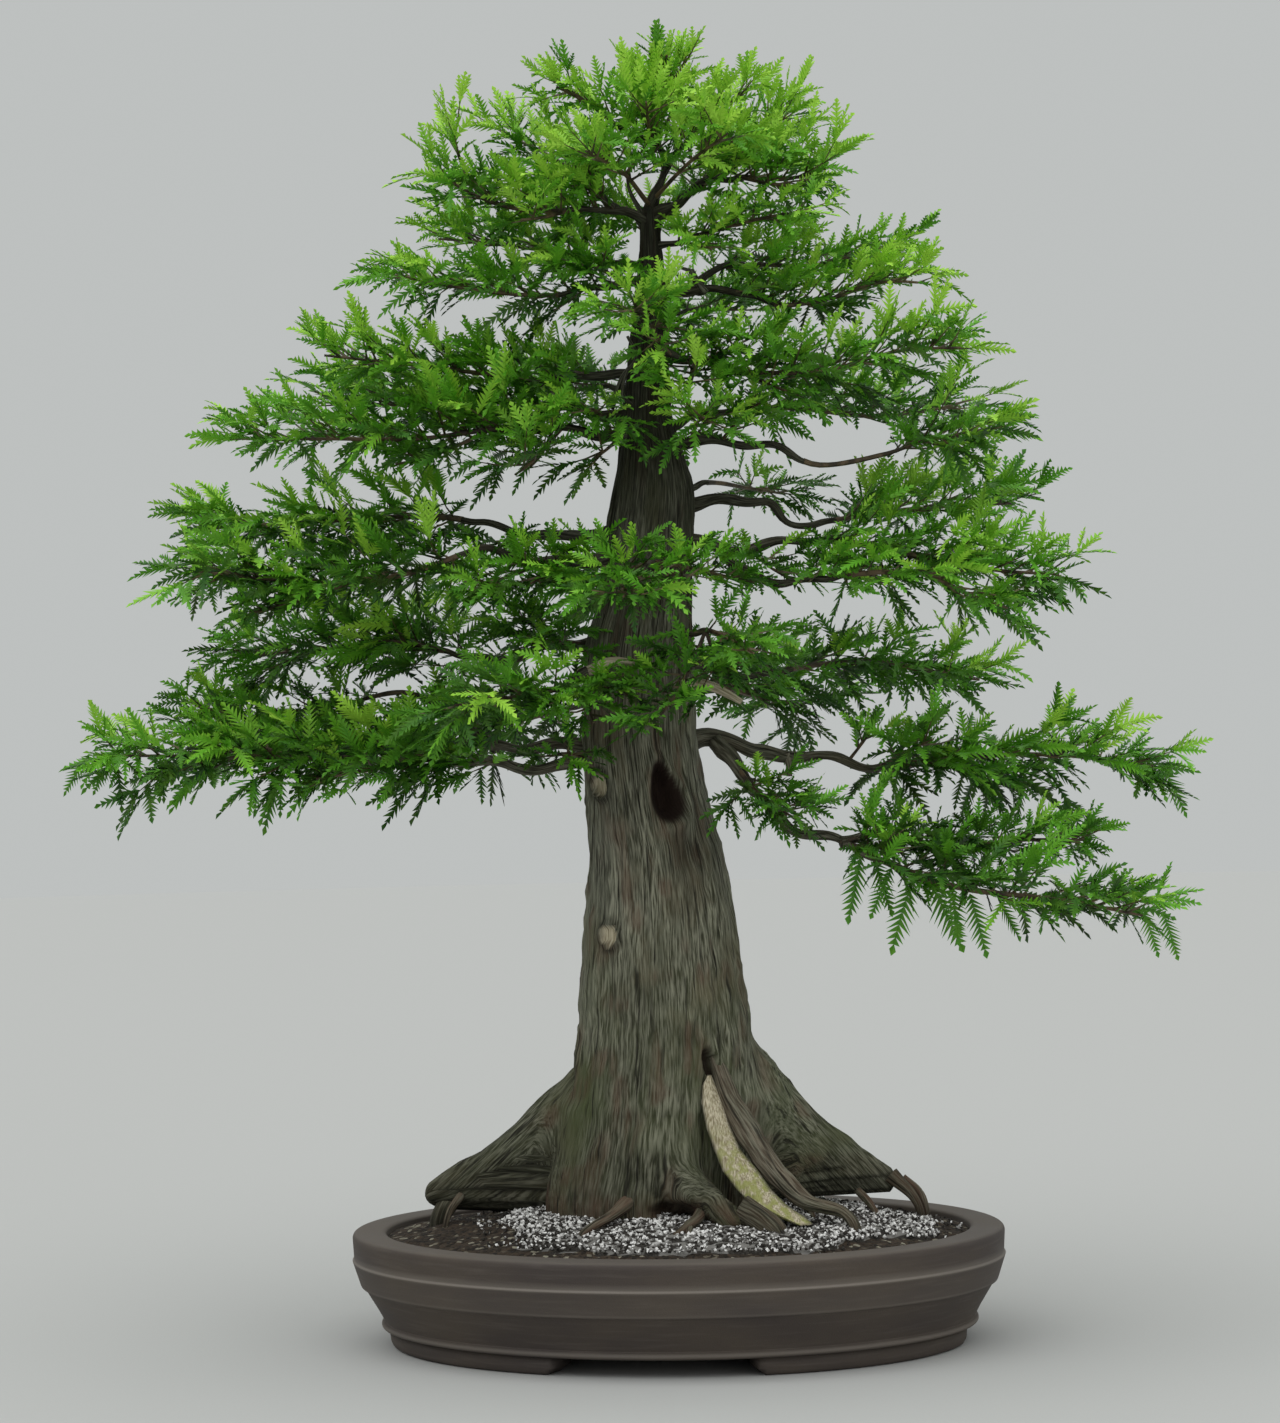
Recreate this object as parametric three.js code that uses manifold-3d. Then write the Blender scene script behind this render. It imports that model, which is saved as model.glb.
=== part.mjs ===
// Bald cypress bonsai in an oval clay pot. Millimetres, +Z up.
// Heights are above the surface that the pot's feet stand on, and x and y are from the pot's centre.
// The tree's own front is turned a little from the pot's front: its points are given as seen from
// the tree's front, x to the right, y away from the viewer, and turned about the pot's centre.
import * as THREE from 'three';
import { mergeVertices } from 'three/addons/utils/BufferGeometryUtils.js';
import Module from 'manifold-3d';

const wasm = await Module();
wasm.setup();

// Pot: an oval of unglazed clay with three bands and four feet
const POT_LENGTH = 460;
const POT_DEPTH = 359;
const POT_HEIGHT = 80;
const RIM_WIDTH = 25;
const FOOT_HEIGHT = 12;
const FLOOR_TOP = 23;
const WALL_LEAN = 12;
const POT_SEGMENTS = 28;
const FOOT_START_ANGLE = 8;
const FOOT_END_ANGLE = 70;
const FOOT_OUTER_INSET = 25;
const FOOT_INNER_INSET = 55;
const FOOT_TAPER = 3;
const FOOT_STATIONS = 5;
const DRAIN_RADIUS = 14;
const DRAIN_OFFSET = 80;
const DRAIN_SIDES = 12;

// Plastic mesh squares over the drain holes
const SCREEN_SIZE = 42;
const SCREEN_THICKNESS = 1.2;
const SCREEN_HOLES_PER_SIDE = 3;
const SCREEN_HOLE = 8;
const SCREEN_PITCH = 12;

// Soil heaped towards the trunk, and the pale grit strewn over its front and middle
const SOIL_EDGE_HEIGHT = 76;
const SOIL_MOUND = 18;
const SOIL_RINGS = [0.86, 0.45];
const SOIL_WAVE = 0.8;
const SOIL_WAVE_X = 17;
const SOIL_WAVE_Y = 13;
const GRIT_LENGTH = 372;
const GRIT_DEPTH = 250;
const GRIT_CENTRE = new THREE.Vector2(9, -23);
const GRIT_THICKNESS = 3;
const GRIT_RELIEF = 0.9;
const GRIT_RINGS = 4;
const GRIT_BORDER_WOBBLE = 0.05;
const GRIT_BORDER_SINK = 1.5;
const GRIT_BED_DEPTH = 12;

// Clearance between neighbouring solids that rest against each other
const SEAT_GAP = 0.3;

// Tree
const TREE_TURN = THREE.MathUtils.degToRad(7);
const TRUNK_SIDES = 12;
const FLUTE_DEPTH = 0.05;
const FLUTED_HEIGHT = 620;
const FLUTE_TWIST = 90;
const STUB_SIDES = 5;
const THICK_LIMB = 4.3;
const LIMB_TAPER = 0.7;
const LIMB_STEP = 32;
const LEADER_STEP = 44;

// One leafy shoot: a thin blade cut to its rib into feathers that point forward on both sides
const FEATHER_SPACING = 17.5;
const SHOOT_WIDTH_SHARE = 0.23;
const SHOOT_NOTCH = 1.8;
const SHOOT_RIB_HEIGHT = 1.7;
const SHOOT_DROOP = 0.13;
const SHOOT_ROOT_SHARE = 0.06;
const SHOOT_CUT_SHARE = 0.86;
const FEWEST_FEATHERS = 3;
const FEATHER_LEAN = 0.75;
const FEATHER_SWELL_START = 0.3;
const FEATHER_SWELL = 0.48;
const SHOOT_ANGLES = [52, 40, 66, 80, 28];
const SHOOT_LIFTS = [0, 12, -12, 24, -24, 36];
const SHOOT_ROLL = 1.7;
const SIDE_LIFTS = [20, -6, 32, 6];
const SHOOT_GUARD = 0.5;
const SHOOT_SINK = 2;
const TIP_SHOOT_SHARE = 0.85;
const TIP_TURNS = [0, 12, -12];
const SIDE_SHOOT_SHORTEST = 0.85;
const SIDE_SHOOT_SPREAD = 0.25;
const LEADER_TIP_RADIUS = 1.2;
const SEEDS_PER_LIMB = 40;

// Trunk outline at heights from below the soil up to the fork: height, left edge, right edge, half depth
const TRUNK_RINGS = [
  [46, -70, 50, 48],
  [74, -90, 62, 60],
  [96, -92, 62, 61],
  [118, -86, 60, 60],
  [145, -80, 60, 58],
  [175, -74, 58, 56],
  [205, -69, 57, 54],
  [238, -64, 52, 52],
  [274, -61, 47, 49],
  [309, -57, 43, 46],
  [344, -55, 37, 42],
  [379, -56, 26, 38],
  [422, -58, 19, 35],
  [485, -56, 18, 33],
  [520, -45, 18, 29],
  [553, -40, 20, 28],
  [582, -38, 24, 28],
  [603, -31, 23, 25],
  [618, -29, 18, 22],
  [645, -26, 8, 17],
  [698, -21, 7, 13],
  [740, -13, 6, 9],
  [775, -12, 3, 7],
  [796, -10, 2, 5],
];

// Roots: points along the middle, the half height at each point, and the breadth as a share of it
const ROOTS = [
  {
    name: 'right root',
    points: [
      [28, 4, 178], [60, 6, 165], [87, 9, 148], [104, 11, 136], [122, 13, 127],
      [142, 14, 119], [164, 15, 108],
    ],
    radii: [50, 46, 31, 24, 18, 12, 9],
    sides: 9,
    breadth: 0.72,
  },
  {
    name: 'right root tip',
    points: [[148, 10, 112], [162, 6, 100], [170, 4, 86], [174, 3, 66]],
    radii: [8, 7, 5, 4],
    sides: 5,
  },
  {
    name: 'left root',
    points: [
      [-50, 14, 160], [-81, 20, 145], [-97, 22, 131], [-118, 24, 119], [-140, 26, 112],
      [-154, 25, 104], [-166, 22, 66],
    ],
    radii: [32, 25, 22, 16, 12, 9, 6],
    sides: 8,
    breadth: 0.8,
  },
  {
    name: 'front right root',
    points: [[4, -44, 146], [20, -58, 126], [46, -74, 108], [63, -84, 97], [73, -92, 82], [76, -95, 64]],
    radii: [22, 15, 12, 10, 8, 6],
    sides: 7,
  },
  {
    name: 'winding root beside the dead wood',
    points: [
      [30, -42, 192], [52, -56, 146], [70, -64, 122], [86, -71, 106], [101, -75, 101],
      [117, -80, 92], [125, -88, 66],
    ],
    radii: [9, 10, 9, 7, 5.5, 5, 4],
    sides: 6,
  },
  {
    name: 'dead wood strip',
    points: [[25, -46, 176], [35, -52, 150], [52, -60, 126], [71, -68, 108]],
    radii: [9, 12, 11, 7],
    sides: 6,
  },
  {
    name: 'front surface root',
    points: [[-30, -52, 112], [-44, -68, 100], [-58, -82, 92], [-69, -98, 70]],
    radii: [9, 5, 4, 3],
    sides: 5,
  },
  {
    name: 'middle surface root',
    points: [[20, -60, 112], [12, -82, 98], [2, -100, 84], [-2, -108, 68]],
    radii: [8, 5, 4, 3],
    sides: 5,
  },
  {
    name: 'back right root',
    points: [[24, 30, 170], [48, 58, 128], [70, 84, 106], [88, 104, 88], [96, 112, 66]],
    radii: [26, 20, 14, 10, 7],
    sides: 7,
  },
  {
    name: 'back left root',
    points: [[-40, 26, 170], [-60, 54, 128], [-78, 82, 104], [-88, 100, 86], [-92, 108, 64]],
    radii: [26, 20, 14, 9, 7],
    sides: 7,
  },
];

// Places where the trunk is hollowed: centre, half sizes across, deep and up, and tilt in degrees
const HOLLOWS = [
  { name: 'knot hole', centre: [-1, -38, 382], half: [11, 17, 27], tilt: 6 },
  { name: 'cavity above the dead wood', centre: [25, -54, 190], half: [5, 9, 15], tilt: 14 },
  { name: 'recess at the foot of the trunk', centre: [0, -64, 100], half: [17, 9, 9], tilt: 0 },
];

// Limbs: points from the trunk or parent limb to the furthest leaf tip, radius at the start and where
// the leaves begin, the share of the length that is bare, the length of a leafy shoot, how many shoots
// grow to the sides, and how far they lift above level in degrees
const LIMBS = [
  {
    name: 'left_low_front',
    points: [
      [-40, -4, 416], [-80, -8, 404], [-139, -18, 410], [-254, -40, 414],
      [-335, -58, 418], [-420, -74, 420],
    ],
    radii: [5.5, 2.4], bare: 0.36, shoot: 99, sides: 4, lift: -4,
  },
  {
    name: 'left_low_back',
    points: [[-40, 10, 420], [-93, 16, 419], [-190, 35, 421], [-263, 55, 429], [-380, 84, 440]],
    radii: [5, 2.3], bare: 0.38, shoot: 89, sides: 4, lift: 0,
  },
  {
    name: 'left_low_upper',
    points: [[-120, 22, 419], [-150, 42, 440], [-186, 62, 459], [-243, 82, 450], [-325, 104, 444]],
    radii: [3.2, 2], bare: 0.34, shoot: 72, sides: 2, lift: 4,
  },
  {
    name: 'left_jin',
    points: [[-34, -20, 475], [-56, -54, 468], [-80, -78, 458], [-112, -104, 452], [-172, -146, 446]],
    radii: [4.5, 2.2], bare: 0.42, shoot: 73, sides: 2, lift: -4,
  },
  {
    name: 'left_dark',
    points: [
      [-40, 8, 492], [-88, 16, 488], [-121, 30, 480], [-161, 47, 489], [-235, 80, 492],
      [-350, 124, 486],
    ],
    radii: [4.5, 2.2], bare: 0.38, shoot: 92, sides: 4, lift: 2,
  },
  {
    name: 'left_mid',
    points: [
      [-28, 4, 571], [-69, 10, 566], [-101, 14, 571], [-157, 24, 583], [-222, 36, 583],
      [-372, 62, 586],
    ],
    radii: [4.5, 2.2], bare: 0.34, shoot: 89, sides: 4, lift: 6,
  },
  {
    name: 'left_mid_front',
    points: [
      [-28, -8, 552], [-79, -16, 547], [-128, -28, 556], [-169, -38, 543],
      [-217, -50, 535], [-368, -84, 552],
    ],
    radii: [4.5, 2.2], bare: 0.35, shoot: 99, sides: 4, lift: 4,
  },
  {
    name: 'left_up_front',
    points: [
      [-18, -6, 634], [-70, -16, 640], [-119, -28, 640], [-167, -40, 634],
      [-228, -55, 634], [-318, -78, 634],
    ],
    radii: [4, 2], bare: 0.3, shoot: 89, sides: 4, lift: 6,
  },
  {
    name: 'left_up_back',
    points: [
      [-16, 6, 648], [-71, 18, 658], [-99, 26, 654], [-128, 34, 659], [-186, 50, 665],
      [-275, 74, 672],
    ],
    radii: [4, 2], bare: 0.32, shoot: 86, sides: 4, lift: 8,
  },
  {
    name: 'left_high',
    points: [
      [-12, 0, 678], [-42, -3, 680], [-77, -8, 675], [-126, -14, 681], [-181, -22, 688],
      [-268, -36, 698],
    ],
    radii: [3.6, 1.9], bare: 0.27, shoot: 73, sides: 2, lift: 10,
  },
  {
    name: 'left_top',
    points: [[-6, 0, 744], [-40, -6, 742], [-68, -10, 735], [-124, -20, 738], [-219, -36, 756]],
    radii: [3.6, 1.8], bare: 0.3, shoot: 73, sides: 4, lift: 10,
  },
  {
    name: 'left_top_back',
    points: [[-5, 4, 752], [-37, 12, 761], [-61, 22, 767], [-126, 44, 780], [-190, 64, 788]],
    radii: [3, 1.7], bare: 0.27, shoot: 67, sides: 2, lift: 12,
  },
  {
    name: 'crown_left',
    points: [[-3, 0, 785], [-34, -5, 796], [-60, -8, 794], [-109, -14, 798], [-178, -23, 836]],
    radii: [3.4, 1.7], bare: 0.36, shoot: 67, sides: 3, lift: 16,
  },
  {
    name: 'crown_left_back',
    points: [[-28, -3, 795], [-46, 12, 812], [-67, 24, 833], [-96, 34, 850], [-140, 46, 872]],
    radii: [2.6, 1.6], bare: 0.3, shoot: 54, sides: 2, lift: 26,
  },
  {
    name: 'right_low',
    points: [
      [6, 4, 417], [44, 6, 422], [65, 9, 410], [105, 15, 408], [151, 22, 399],
      [201, 30, 404], [274, 42, 405], [384, 60, 390],
    ],
    radii: [7, 2.6], bare: 0.42, shoot: 92, sides: 4, lift: 2,
  },
  {
    name: 'right_low_front',
    points: [
      [34, 3, 419], [48, -14, 403], [61, -24, 384], [84, -36, 360], [125, -52, 347],
      [158, -63, 329], [198, -74, 317],
      [264, -92, 308], [352, -114, 290],
    ],
    radii: [4.6, 2.4], bare: 0.48, shoot: 89, sides: 4, lift: -10,
  },
  {
    name: 'right_low_inner',
    points: [[118, -50, 349], [151, -38, 353], [192, -30, 343], [250, -26, 347], [330, -22, 344]],
    radii: [2.8, 1.8], bare: 0.3, shoot: 54, sides: 2, lift: 0,
  },
  {
    name: 'right_dark',
    points: [[4, 10, 478], [67, 28, 465], [96, 40, 471], [155, 58, 475], [206, 74, 463], [262, 92, 456]],
    radii: [4, 2], bare: 0.34, shoot: 80, sides: 4, lift: 0,
  },
  {
    name: 'right_mid',
    points: [
      [6, -2, 566], [37, -6, 556], [61, -12, 554], [96, -19, 560], [123, -25, 558],
      [178, -38, 545], [232, -50, 534],
      [307, -64, 528],
    ],
    radii: [5, 2.4], bare: 0.42, shoot: 80, sides: 4, lift: 4,
  },
  {
    name: 'right_mid_low',
    points: [
      [42, -8, 555], [55, -22, 538], [94, -44, 529], [128, -60, 533], [175, -80, 532],
      [206, -94, 517], [262, -118, 494],
    ],
    radii: [3.6, 2.1], bare: 0.4, shoot: 70, sides: 2, lift: -14,
  },
  {
    name: 'right_mid_back',
    points: [
      [10, 2, 586], [59, 12, 590], [76, 17, 588], [87, 22, 574], [112, 28, 574],
      [170, 44, 582], [290, 76, 588],
    ],
    radii: [4.4, 2.1], bare: 0.42, shoot: 80, sides: 4, lift: 8,
  },
  {
    name: 'right_up',
    points: [
      [2, 0, 630], [42, -4, 630], [76, -10, 626], [108, -16, 612], [153, -24, 617],
      [188, -30, 627], [262, -44, 634],
    ],
    radii: [4.2, 2.1], bare: 0.38, shoot: 83, sides: 4, lift: 6,
  },
  {
    name: 'right_up_back',
    points: [[0, 8, 640], [40, 40, 655], [102, 68, 658], [145, 81, 653], [192, 96, 656], [258, 116, 674]],
    radii: [3.6, 2], bare: 0.32, shoot: 73, sides: 2, lift: 8,
  },
  {
    name: 'right_high',
    points: [
      [0, -4, 694], [49, -18, 680], [84, -30, 675], [118, -42, 676], [166, -60, 686],
      [240, -86, 684],
    ],
    radii: [3.6, 1.9], bare: 0.3, shoot: 76, sides: 4, lift: 6,
  },
  {
    name: 'right_top',
    points: [
      [0, 0, 737], [40, -3, 736], [65, -6, 734], [82, -9, 725], [121, -14, 728],
      [156, -19, 738], [217, -27, 732],
    ],
    radii: [3.4, 1.8], bare: 0.38, shoot: 67, sides: 4, lift: 8,
  },
  {
    name: 'right_top_back',
    points: [[28, -1, 737], [34, 12, 750], [66, 24, 757], [113, 37, 758], [160, 50, 770], [212, 64, 774]],
    radii: [2.8, 1.7], bare: 0.3, shoot: 60, sides: 2, lift: 14,
  },
  {
    name: 'right_neck',
    points: [[-2, -2, 768], [30, -14, 774], [58, -28, 780], [92, -44, 784], [140, -64, 784]],
    radii: [2.6, 1.6], bare: 0.26, shoot: 54, sides: 2, lift: 8,
  },
  {
    name: 'crown_right',
    points: [[-4, 0, 788], [16, -2, 800], [35, -4, 811], [60, -7, 815], [94, -10, 813], [158, -16, 832]],
    radii: [4, 1.9], bare: 0.44, shoot: 64, sides: 4, lift: 14,
  },
  {
    name: 'crown_right_back',
    points: [[18, -2, 801], [46, 22, 825], [76, 38, 850], [128, 58, 880]],
    radii: [2.6, 1.6], bare: 0.32, shoot: 57, sides: 2, lift: 26,
  },
  {
    name: 'apex',
    points: [[-5, 0, 790], [0, 1, 808], [7, 1, 825], [-2, 2, 852], [2, 0, 922]],
    radii: [4, 1.6], bare: 0.5, shoot: 51, sides: 4, lift: 46,
  },
  {
    name: 'apex_left',
    points: [[2, 1, 838], [-24, -8, 852], [-46, -12, 868], [-100, -18, 896]],
    radii: [2, 1.4], bare: 0.27, shoot: 38, sides: 1, lift: 20,
  },
  {
    name: 'apex_right',
    points: [[6, 1, 824], [28, -10, 846], [48, -16, 862], [96, -26, 892]],
    radii: [2, 1.4], bare: 0.27, shoot: 44, sides: 2, lift: 34,
  },
  {
    name: 'front_high',
    points: [[-5, -4, 700], [-8, -40, 713], [-14, -72, 716], [-26, -132, 706]],
    radii: [3, 1.7], bare: 0.32, shoot: 60, sides: 2, lift: 6,
  },
  {
    name: 'front_middle',
    points: [[-8, -16, 548], [-12, -60, 542], [-20, -98, 528], [-34, -176, 512]],
    radii: [3.2, 1.8], bare: 0.34, shoot: 73, sides: 3, lift: -6,
  },
  {
    name: 'front_right',
    points: [[2, -18, 494], [28, -58, 497], [46, -90, 488], [72, -150, 470]],
    radii: [3, 1.7], bare: 0.34, shoot: 54, sides: 2, lift: -10,
  },
  {
    name: 'back_low_left',
    points: [[-34, 18, 442], [-64, 80, 446], [-104, 132, 438], [-168, 214, 428]],
    radii: [4.6, 2.1], bare: 0.32, shoot: 92, sides: 4, lift: 2,
  },
  {
    name: 'back_low_right',
    points: [[-4, 20, 456], [34, 88, 460], [72, 140, 450], [126, 228, 440]],
    radii: [4.6, 2.1], bare: 0.32, shoot: 92, sides: 4, lift: 2,
  },
  {
    name: 'back_middle',
    points: [[-14, 16, 522], [-22, 78, 532], [-36, 132, 528], [-50, 222, 520]],
    radii: [4.2, 2], bare: 0.32, shoot: 89, sides: 4, lift: 4,
  },
  {
    name: 'back_middle_right',
    points: [[0, 14, 592], [32, 66, 606], [64, 110, 604], [112, 184, 600]],
    radii: [3.8, 1.9], bare: 0.32, shoot: 76, sides: 3, lift: 8,
  },
  {
    name: 'back_high_left',
    points: [[-12, 8, 662], [-36, 52, 676], [-66, 92, 676], [-112, 160, 680]],
    radii: [3.4, 1.8], bare: 0.3, shoot: 70, sides: 3, lift: 8,
  },
  {
    name: 'back_high_right',
    points: [[-4, 6, 716], [22, 48, 728], [44, 82, 732], [78, 144, 738]],
    radii: [3, 1.7], bare: 0.3, shoot: 64, sides: 2, lift: 10,
  },
  {
    name: 'back_top',
    points: [[-6, 2, 772], [-12, 36, 790], [-20, 66, 804], [-32, 122, 822]],
    radii: [2.6, 1.6], bare: 0.3, shoot: 54, sides: 2, lift: 18,
  },
];

// Bare stubs and peeled stumps left by pruning: points and radii
const STUBS = [
  {
    name: 'peeled stump on the front left limb',
    points: [[-50, -50, 470], [-34, -60, 476], [-24, -64, 475]],
    radii: [4, 3.4, 2.4],
  },
  {
    name: 'peeled stump on the right',
    points: [[12, -14, 462], [34, -30, 458], [50, -38, 448]],
    radii: [4, 3, 2],
  },
  {
    name: 'peg under the lowest right limb',
    points: [[84, 12, 408], [86, 12, 396]],
    radii: [2.6, 2.2],
  },
  {
    name: 'stub high on the right',
    points: [[34, -3, 737], [24, -2, 752]],
    radii: [2.4, 1.8],
  },
];

const CLAY = new THREE.MeshStandardMaterial({ color: 0x4b4641, roughness: 0.85, metalness: 0 });
const MESH_PLASTIC = new THREE.MeshStandardMaterial({ color: 0x1f2321, roughness: 0.6, metalness: 0 });
const DARK_SOIL = new THREE.MeshStandardMaterial({ color: 0x2c2620, roughness: 1, metalness: 0 });
const PALE_GRIT = new THREE.MeshStandardMaterial({ color: 0xa09f9a, roughness: 0.95, metalness: 0 });
const BARK = new THREE.MeshStandardMaterial({ color: 0x565747, roughness: 0.95, metalness: 0 });
const LEAF_GREENS = [0x5e8535, 0x4d7a2e, 0x6c9546];

// A repeatable number between 0 and 1 for a counted draw
function draw(count) {
  const wave = Math.sin(count * 12.9898) * 43758.5453;
  return wave - Math.floor(wave);
}

// A closed body from points and triangles of point numbers
function bodyOf(points, triangles) {
  const vertProperties = new Float32Array(points.flatMap((p) => [p.x, p.y, p.z]));
  const triVerts = new Uint32Array(triangles.flat());
  return new wasm.Manifold(new wasm.Mesh({ numProp: 3, vertProperties, triVerts }));
}

// A closed body from one of the stock shapes
function bodyOfGeometry(geometry) {
  const bare = geometry.clone();
  bare.deleteAttribute('normal');
  bare.deleteAttribute('uv');
  const merged = mergeVertices(bare, 1e-4);
  const vertProperties = new Float32Array(merged.attributes.position.array);
  const triVerts = new Uint32Array(merged.index.array);
  return new wasm.Manifold(new wasm.Mesh({ numProp: 3, vertProperties, triVerts }));
}

// A named mesh for a finished body
function meshOf(name, body, material) {
  const { numProp, vertProperties, triVerts } = body.getMesh();
  const positions = [];
  for (let i = 0; i < vertProperties.length; i += numProp) {
    positions.push(vertProperties[i], vertProperties[i + 1], vertProperties[i + 2]);
  }
  const geometry = new THREE.BufferGeometry();
  geometry.setAttribute('position', new THREE.Float32BufferAttribute(positions, 3));
  geometry.setIndex([...triVerts]);
  geometry.computeVertexNormals();
  const mesh = new THREE.Mesh(geometry, material);
  mesh.name = name;
  return mesh;
}

// The largest piece of a body, so that no loose scrap stays
function largestPiece(body) {
  return body.decompose().reduce((best, piece) => (piece.volume() > best.volume() ? piece : best));
}

function joined(bodies) {
  return bodies.reduce((sum, body) => sum.add(body));
}

// Skin over a stack of rings that all have the same number of points, closed at both ends
function loft(rings) {
  const sides = rings[0].length;
  const points = rings.flat();
  const triangles = [];
  for (let r = 0; r + 1 < rings.length; r += 1) {
    for (let s = 0; s < sides; s += 1) {
      const a = r * sides + s;
      const b = r * sides + ((s + 1) % sides);
      triangles.push([a, b, b + sides], [a, b + sides, a + sides]);
    }
  }
  const last = (rings.length - 1) * sides;
  for (let s = 1; s + 1 < sides; s += 1) {
    triangles.push([0, s + 1, s], [last, last + s, last + s + 1]);
  }
  return bodyOf(points, triangles);
}

function turnedToFront(point) {
  const [x, y, z] = point;
  return new THREE.Vector3(x, y, z).applyAxisAngle(new THREE.Vector3(0, 0, 1), TREE_TURN);
}

// A stem along points, with a half height at each point and a breadth as a share of it; grow makes it
// fatter and longer all round, and ends are the headings that its two end faces look along
function stem(points, radii, sides, { grow = 0, breadth = 1, ends = [null, null] } = {}) {
  const centres = points.map((p) => p.clone());
  const count = centres.length;
  if (grow > 0) {
    centres[0].add(centres[0].clone().sub(points[1]).setLength(grow));
    centres[count - 1].add(centres[count - 1].clone().sub(points[count - 2]).setLength(grow));
  }
  let side = null;
  const rings = centres.map((centre, i) => {
    const before = centres[Math.max(i - 1, 0)];
    const after = centres[Math.min(i + 1, count - 1)];
    const given = (i === 0 && ends[0]) || (i === count - 1 && ends[1]);
    const along = given || after.clone().sub(before).normalize();
    const level = Math.abs(along.z) < 0.9 ? new THREE.Vector3(0, 0, 1) : new THREE.Vector3(1, 0, 0);
    const start = side ?? level;
    side = start.clone().addScaledVector(along, -start.dot(along)).normalize();
    const other = new THREE.Vector3().crossVectors(along, side);
    return Array.from({ length: sides }, (_, s) => {
      const angle = (2 * Math.PI * s) / sides;
      return centre.clone()
        .addScaledVector(side, (radii[i] + grow) * Math.cos(angle))
        .addScaledVector(other, (radii[i] * breadth + grow) * Math.sin(angle));
    });
  });
  return loft(rings);
}

// Oval ring of the pot at an inset from its outline
function ovalRing(inset, z, segments = POT_SEGMENTS) {
  return Array.from({ length: segments }, (_, s) => {
    const angle = (2 * Math.PI * s) / segments;
    return new THREE.Vector3(
      (POT_LENGTH / 2 - inset) * Math.cos(angle),
      (POT_DEPTH / 2 - inset) * Math.sin(angle),
      z,
    );
  });
}

// Inset of the pot's inner wall at a height
function innerInset(z) {
  return RIM_WIDTH + (WALL_LEAN * (POT_HEIGHT - z)) / (POT_HEIGHT - FLOOR_TOP);
}

// Pot profile from the underside up the outside, over the rim and down the inside: inset and height
const POT_PROFILE = [
  [27, FOOT_HEIGHT],
  [20.6, 14],
  [20.6, 16.4],
  [22.4, 17.4],
  [8.4, 42.2],
  [6.2, 43],
  [0, 60.4],
  [1.2, 61.4],
  [1, POT_HEIGHT - 1.6],
  [2.6, POT_HEIGHT],
  [RIM_WIDTH - 2, POT_HEIGHT],
  [RIM_WIDTH, POT_HEIGHT - 2],
  [innerInset(FLOOR_TOP), FLOOR_TOP],
];

// One foot that follows the oval between two angles, narrower below
function foot(quadrant) {
  const rings = Array.from({ length: FOOT_STATIONS }, (_, i) => {
    const share = i / (FOOT_STATIONS - 1);
    const degrees = FOOT_START_ANGLE + share * (FOOT_END_ANGLE - FOOT_START_ANGLE);
    const mirrored = quadrant % 2 === 0 ? degrees : 90 - degrees;
    const angle = THREE.MathUtils.degToRad(quadrant * 90 + mirrored);
    const corner = (inset, z) => new THREE.Vector3(
      (POT_LENGTH / 2 - inset) * Math.cos(angle),
      (POT_DEPTH / 2 - inset) * Math.sin(angle),
      z,
    );
    const section = [
      corner(FOOT_OUTER_INSET, FOOT_HEIGHT + 1),
      corner(FOOT_INNER_INSET, FOOT_HEIGHT + 1),
      corner(FOOT_INNER_INSET - FOOT_TAPER, 0),
      corner(FOOT_OUTER_INSET + FOOT_TAPER, 0),
    ];
    return section;
  });
  return loft(quadrant % 2 === 0 ? rings.reverse() : rings);
}

function makePot() {
  let pot = loft(POT_PROFILE.map(([inset, z]) => ovalRing(inset, z)));
  for (let quadrant = 0; quadrant < 4; quadrant += 1) {
    pot = pot.add(foot(quadrant));
  }
  const drain = new THREE.CylinderGeometry(DRAIN_RADIUS, DRAIN_RADIUS, FLOOR_TOP, DRAIN_SIDES);
  drain.rotateX(Math.PI / 2);
  for (const x of [-DRAIN_OFFSET, DRAIN_OFFSET]) {
    pot = pot.subtract(bodyOfGeometry(drain).translate([x, 0, FLOOR_TOP * 0.75]));
  }
  return pot;
}

// A plastic mesh square with rows of square holes
function makeScreen(x) {
  const plate = new THREE.BoxGeometry(SCREEN_SIZE, SCREEN_SIZE, SCREEN_THICKNESS);
  const hole = new THREE.BoxGeometry(SCREEN_HOLE, SCREEN_HOLE, 2 * SCREEN_THICKNESS);
  const offset = ((SCREEN_HOLES_PER_SIDE - 1) * SCREEN_PITCH) / 2;
  let screen = bodyOfGeometry(plate);
  for (let i = 0; i < SCREEN_HOLES_PER_SIDE ** 2; i += 1) {
    const u = (i % SCREEN_HOLES_PER_SIDE) * SCREEN_PITCH - offset;
    const v = Math.floor(i / SCREEN_HOLES_PER_SIDE) * SCREEN_PITCH - offset;
    screen = screen.subtract(bodyOfGeometry(hole).translate([u, v, 0]));
  }
  return screen.translate([x, 0, FLOOR_TOP + SEAT_GAP + SCREEN_THICKNESS / 2]);
}

// Height of the soil at a place, with a few low waves
function soilHeight(x, y) {
  const share = Math.hypot(x / (POT_LENGTH / 2 - RIM_WIDTH), y / (POT_DEPTH / 2 - RIM_WIDTH));
  const waves = SOIL_WAVE * Math.sin(x / SOIL_WAVE_X) * Math.cos(y / SOIL_WAVE_Y);
  return SOIL_EDGE_HEIGHT + (SOIL_MOUND + waves) * Math.max(0, 1 - share * share);
}

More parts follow.
